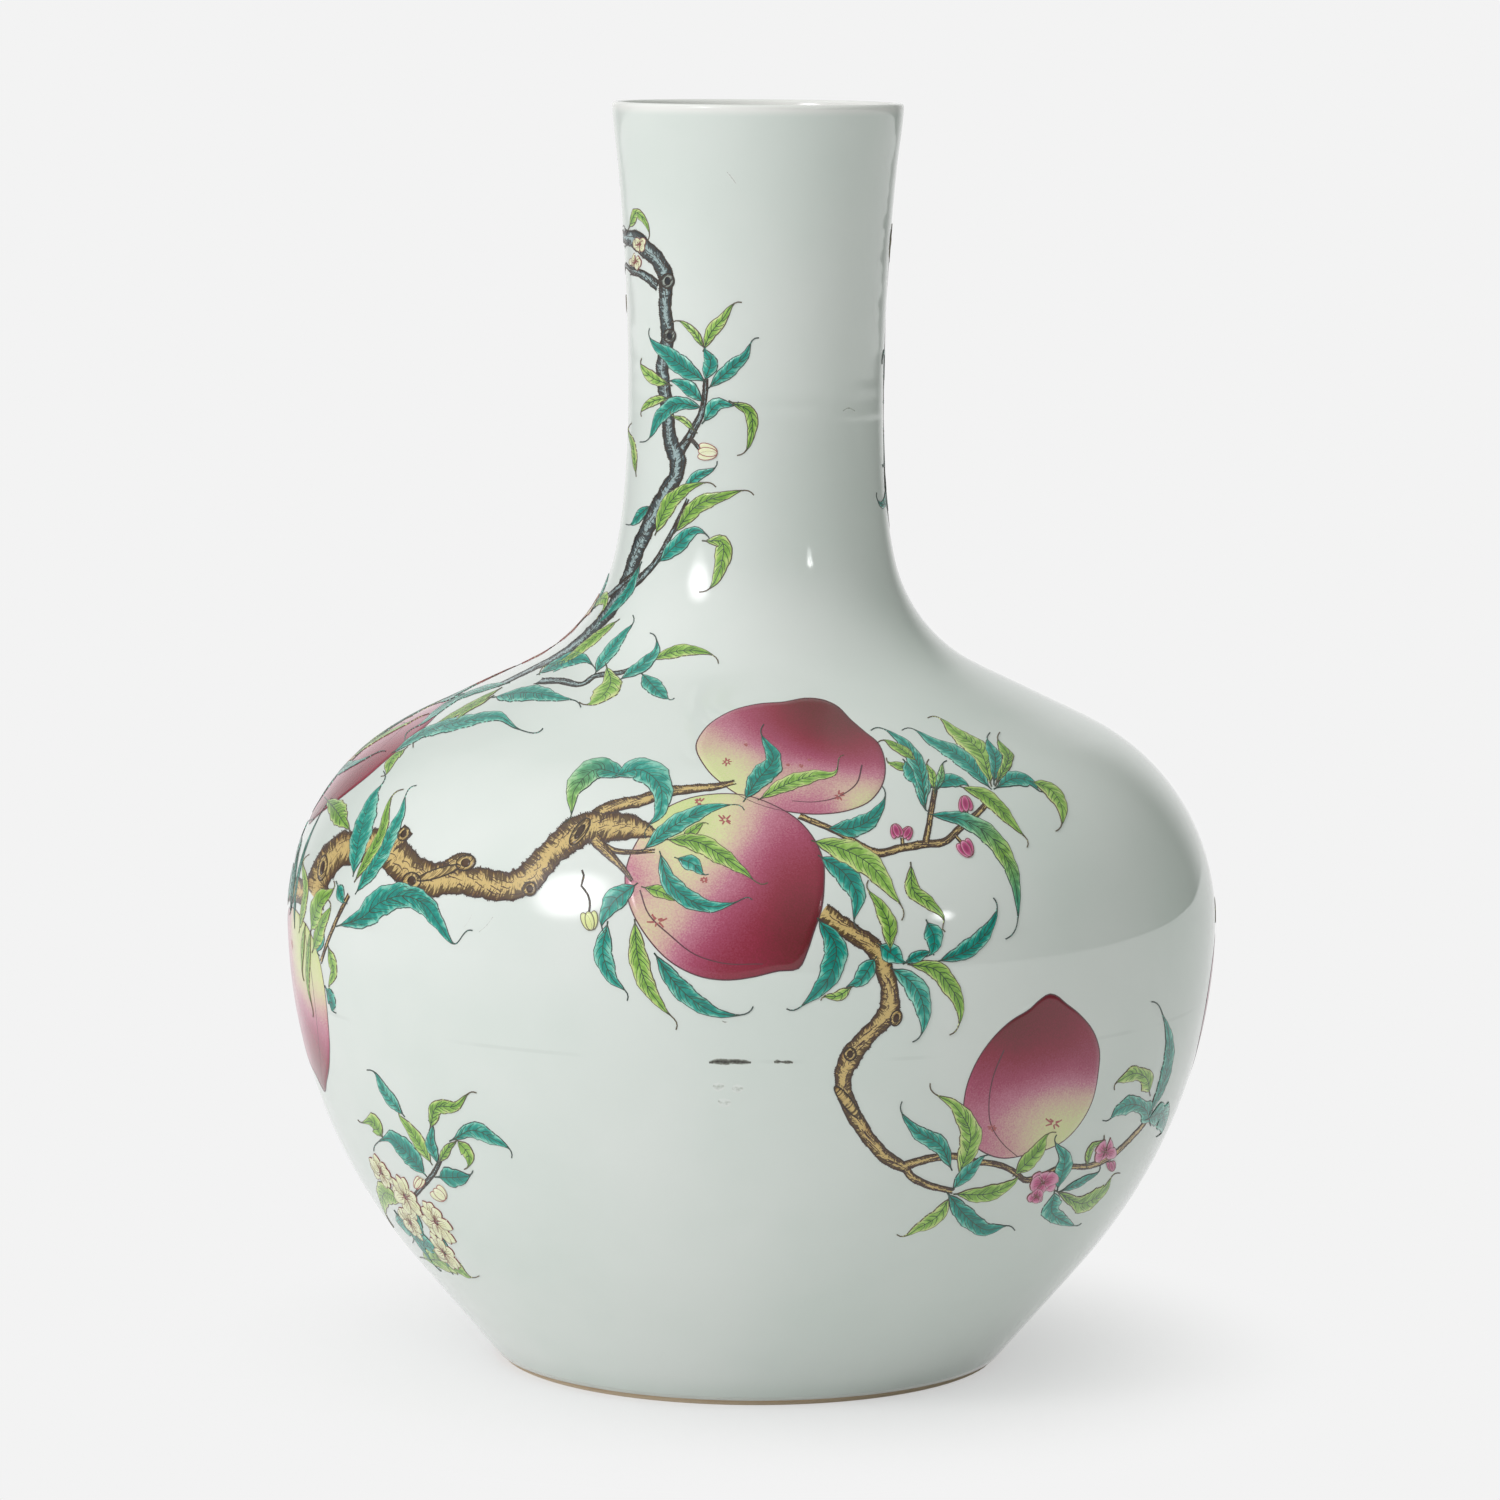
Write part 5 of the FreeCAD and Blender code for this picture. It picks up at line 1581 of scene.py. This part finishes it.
class MakeGlaze(bpy.types.Operator):
    """Turns the outer glaze finely and gives the packed clay, slip and glazes their finishes"""

    bl_idname = "vase.make_glaze"
    bl_label = "Glaze the Vase"

    sample_gap = 0.25 * MM
    lip_zone = 4 * MM
    foot_outwards = np.array([0.765, -0.644])

    def rings(self):
        """Radius and height of each ring: the glaze's outside, with its edges turned into the clay."""
        section, size = wall().section, sizes()
        smooth = flowing(section, round(run_of(section) / self.sample_gap))
        chain = [smooth[0]]
        for point in smooth[1:]:
            fine = point[1] > section[:, 1].max() - self.lip_zone
            gap = size.lip_spacing if fine else size.ring_spacing
            if np.linalg.norm(point - chain[-1]) >= gap:
                chain.append(point)
        if math.dist(chain[-1], smooth[-1]) < size.ring_spacing / 3:
            chain.pop()
        chain += [smooth[-2], smooth[-1]]
        deep = 2 * wall().half_glaze
        return [chain[0] - self.foot_outwards * deep, *chain, chain[-1] + np.array([1, 0]) * deep]

    def execute(self, context):
        mesh = bmesh.new()
        places = [(radius, 0, height) for radius, height in self.rings()]
        spin_chain(mesh, places, FULL_TURN, sizes().turning_steps)
        bmesh.ops.recalc_face_normals(mesh, faces=mesh.faces)
        pale = glaze_finish("outer_glaze_finish", colours().glaze, colours().glaze_pool)
        piece = piece_of(mesh, "outer_glaze_turned", pale)
        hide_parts("outer_glaze")
        # Painted light: the hollow and the base get glaze colours painted whiter than the outer glaze,
        # over the shade inside the mouth.
        inside = glaze_finish("inner_glaze_finish", colours().inside, colours().inside_pool_painted_light)
        finishes = {
            "lower_bowl": clay_finish("foot_clay"),
            "shoulder_section": clay_finish("shoulder_clay"),
            "neck_section": clay_finish("neck_clay"),
            "belly_slip_joint": slip_finish("belly_slip"),
            "neck_slip_joint": slip_finish("neck_slip"),
            "inner_glaze": inside,
            "base_glaze": inside,
        }
        for node, finish in finishes.items():
            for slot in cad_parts[node].material_slots:
                slot.material = finish
        return {"FINISHED"}


class PaintBoughs(bpy.types.Operator):
    """Paints the boughs, their bark and the eyes of lost limbs"""

    bl_idname = "vase.paint_boughs"
    bl_label = "Paint the Boughs"

    def execute(self, context):
        shapes = [
            (Bough(knots, turn, order, age), 2 + order % 3)
            for order, (turn, age, knots) in enumerate(BOUGHS)
        ]
        shapes += [(Eye(*eye, order), 5) for order, eye in enumerate(EYES)]
        return paint_pieces(
            ("run", "side", "age"), shapes,
            ("boughs", bark_finish("bough_enamel")), ("bark_lines", ink_finish("bark_ink")),
        )


class PaintPeaches(bpy.types.Operator):
    """Paints the peaches with their blush, creases and blossom scars"""

    bl_idname = "vase.paint_peaches"
    bl_label = "Paint the Peaches"

    def execute(self, context):
        return paint_pieces(
            ("blush",), [(Peach(peach), peach["coat"]) for peach in PEACHES],
            ("peaches", peach_finish("peach_enamel")), ("peach_lines", ink_finish("peach_ink")),
        )


class PaintLeaves(bpy.types.Operator):
    """Paints the leaves, their veins and their outlines"""

    bl_idname = "vase.paint_leaves"
    bl_label = "Paint the Leaves"

    def execute(self, context):
        leaves = [
            (turn, colour, width, knots)
            for turn, rows in LEAVES.items() for colour, width, *knots in rows
        ]
        for order, spray in enumerate(SPRAYS):
            leaves += spray_leaves(*spray, order)
        shapes = [
            (Leaf(colour, width, knots, turn, order), 5 + order % 4)
            for order, (turn, colour, width, knots) in enumerate(leaves)
        ]
        return paint_pieces(
            ("hue", "tone", "run", "side"), shapes,
            ("leaves", leaf_finish("leaf_enamel")), ("leaf_lines", ink_finish("leaf_ink")),
        )


class PaintBlossoms(bpy.types.Operator):
    """Paints the open blossoms and the buds"""

    bl_idname = "vase.paint_blossoms"
    bl_label = "Paint the Blossoms"

    def execute(self, context):
        shapes = [(Flower(*flower, order), 9 + order % 2) for order, flower in enumerate(FLOWERS)]
        shapes += [(Bud(*bud), 8) for bud in BUDS]
        return paint_pieces(
            ("tint",), shapes,
            ("blossoms", petal_finish("petal_enamel")), ("blossom_lines", ink_finish("blossom_ink")),
        )


class MarkFlaws(bpy.types.Operator):
    """Leaves the small marks of the kiln in the glaze"""

    bl_idname = "vase.mark_flaws"
    bl_label = "Mark the Flaws"

    thin = 0.3

    def execute(self, context):
        film = Film("faint")
        for faint, knots in FLAWS:
            mark = Strap(knots, 0, None, 24)
            mark.fill(film, self.thin * coat(0), lambda across, along: {"faint": faint + across**2 * 0.5})
        film.finished("kiln_marks", kiln_mark_finish("kiln_mark"))
        return {"FINISHED"}


class SetStage(bpy.types.Operator):
    """Sets the floor, the room light, the lamps and the camera"""

    bl_idname = "vase.set_stage"
    bl_label = "Set the Stage"

    floor_radius = 6.0
    paper_near = 0.12
    paper_far = 0.27

    def execute(self, context):
        stage = context.scene.vase_stage
        self.set_camera(context, stage)
        self.lay_floor(context, stage)
        self.light_room(context, stage)
        self.hang_lamp("key_light", stage.key_power, (0.95, 1.2), (-47, 28), 2.3, 0.97)
        self.hang_lamp("spark_light", stage.spark_power, (0.2, 0.17), (46.5, 19), 1.6, 1.0)
        context.scene.view_settings.view_transform = "Standard"
        return {"FINISHED"}

    def set_camera(self, context, stage):
        camera = bpy.data.objects.new("camera", bpy.data.cameras.new("camera"))
        camera.data.sensor_width = SENSOR_WIDTH
        camera.data.lens = stage.lens
        camera.data.clip_end = 100
        camera.matrix_world = camera_matrix()
        context.scene.collection.objects.link(camera)
        context.scene.camera = camera

    def lay_floor(self, context, stage):
        mesh = bmesh.new()
        bmesh.ops.create_circle(mesh, cap_ends=True, segments=96, radius=self.floor_radius)
        data = bpy.data.meshes.new("floor")
        mesh.to_mesh(data)
        mesh.free()
        floor = bpy.data.objects.new("floor", data)
        context.scene.collection.objects.link(floor)
        finish = new_finish("paper")
        across, back, _ = finish.axes()
        far = ((across * across + back * back) ** 0.5).between(self.paper_near, self.paper_far)
        matt = finish.add("BsdfDiffuse", {}, {"Color": (0.94, 0.94, 0.94)})
        shown = finish.add("BsdfDiffuse", {}, {"Color": (0.42, 0.42, 0.42)})
        glow = finish.add("Emission", {}, {"Color": stage.paper, "Strength": 0.56})
        full = finish.add("Emission", {}, {"Color": stage.paper, "Strength": 1.0})
        near = finish.add("AddShader", {}, {0: shown, 1: glow})
        seen = finish.add("MixShader", {}, {0: far, 1: near, 2: full})
        rays = finish.add("LightPath")
        kinds = ("Is Camera Ray", "Is Glossy Ray", "Is Transmission Ray")
        sight = finish.most(*(rays.output(kind) for kind in kinds))
        data.materials.append(finish.surface(finish.add("MixShader", {}, {0: sight, 1: matt, 2: seen})))
        floor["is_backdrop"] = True

    def light_room(self, context, stage):
        """Room light that is dimmer on the right and behind, with more of it from above."""
        finish = Finish(bpy.data.worlds.new("room"))
        context.scene.world = finish.owner
        right, back, up = finish.axes(finish.add("TexCoord").output("Generated"))
        dim_right = 1.03 - right.between(-0.45, 0.42) * 0.98
        dim_back = 1 - back.between(0.0, 0.6) * 0.7
        above = up.between(0.18, 0.82) * stage.overhead
        level = dim_right * dim_back * stage.sky
        cool = finish.add("Background", {}, {"Color": (1.0, 0.975, 1.0), "Strength": level})
        green = finish.add("Background", {}, {"Color": (0.95, 1.0, 0.95), "Strength": above})
        room = finish.add("AddShader", {}, {0: cool, 1: green})
        paper = finish.add("Background", {}, {"Color": stage.paper, "Strength": 1.0})
        rays = finish.add("LightPath")
        mirrored = finish.most(rays.output("Is Glossy Ray"), rays.output("Is Transmission Ray"))
        sight = finish.most(rays.output("Is Camera Ray"), mirrored * back.between(0.78, 0.97))
        finish.surface(finish.add("MixShader", {}, {0: sight, 1: room, 2: paper}))

    def hang_lamp(self, name, power, size, turn, distance, green):
        """Hangs an oval lamp, soft at its edge, so many degrees aside and up from the vase's front."""
        lamp = bpy.data.lights.new(name, "AREA")
        lamp.shape = "ELLIPSE"
        lamp.size, lamp.size_y = size
        lamp.energy = power
        finish = Finish(lamp)
        face = finish.add("NewGeometry").output("Parametric")
        out = finish.add("VectorMath", {"operation": "DISTANCE"}, {0: face, 1: (0.5, 0.5, 0)})
        light = {"Color": (1.0, green, 1.0), "Strength": 1 - out.between(0.1, 0.5)}
        finish.surface(finish.add("Emission", {}, light))
        aside, up = (math.radians(part) for part in turn)
        aim = Vector((0, 0, 0.25))
        way = Vector((math.sin(aside) * math.cos(up), -math.cos(aside) * math.cos(up), math.sin(up)))
        holder = bpy.data.objects.new(name, lamp)
        holder.location = aim + way * distance
        holder.rotation_euler = way.to_track_quat("Z", "Y").to_euler()
        bpy.context.scene.collection.objects.link(holder)


MAKERS = (MakeGlaze, PaintBoughs, PaintPeaches, PaintLeaves, PaintBlossoms, MarkFlaws, SetStage)
GROUPS = {"vase_sizes": VaseSizes, "vase_colours": VaseColours, "vase_stage": VaseStage}


class VasePanel(bpy.types.Panel):
    """Sidebar panel with the sizes, the colours and every step of the making"""

    bl_idname = "VIEW3D_PT_vase"
    bl_label = "Peach Bough Vase"
    bl_space_type = "VIEW_3D"
    bl_region_type = "UI"
    bl_category = "Vase"

    def draw(self, context):
        for maker in MAKERS:
            self.layout.operator(maker.bl_idname)
        for group in GROUPS:
            box = self.layout.box()
            values = getattr(context.scene, group)
            for name in values.bl_rna.properties.keys():
                if name not in ("rna_type", "name"):
                    box.prop(values, name)


def register():
    for group in GROUPS.values():
        bpy.utils.register_class(group)
    for name, group in GROUPS.items():
        setattr(bpy.types.Scene, name, bpy.props.PointerProperty(type=group))
    for maker in (*MAKERS, VasePanel):
        bpy.utils.register_class(maker)


def unregister():
    for maker in reversed((*MAKERS, VasePanel)):
        bpy.utils.unregister_class(maker)
    for name, group in GROUPS.items():
        delattr(bpy.types.Scene, name)
        bpy.utils.unregister_class(group)


def main():
    register()
    for maker in MAKERS:
        family, step = maker.bl_idname.split(".")
        getattr(getattr(bpy.ops, family), step)()
    boxes = {"cad": CAD_BOX, "visual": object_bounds()}
    plain = {name: [list(corner) for corner in box] for name, box in boxes.items()}


if __name__ == "__main__":
    main()
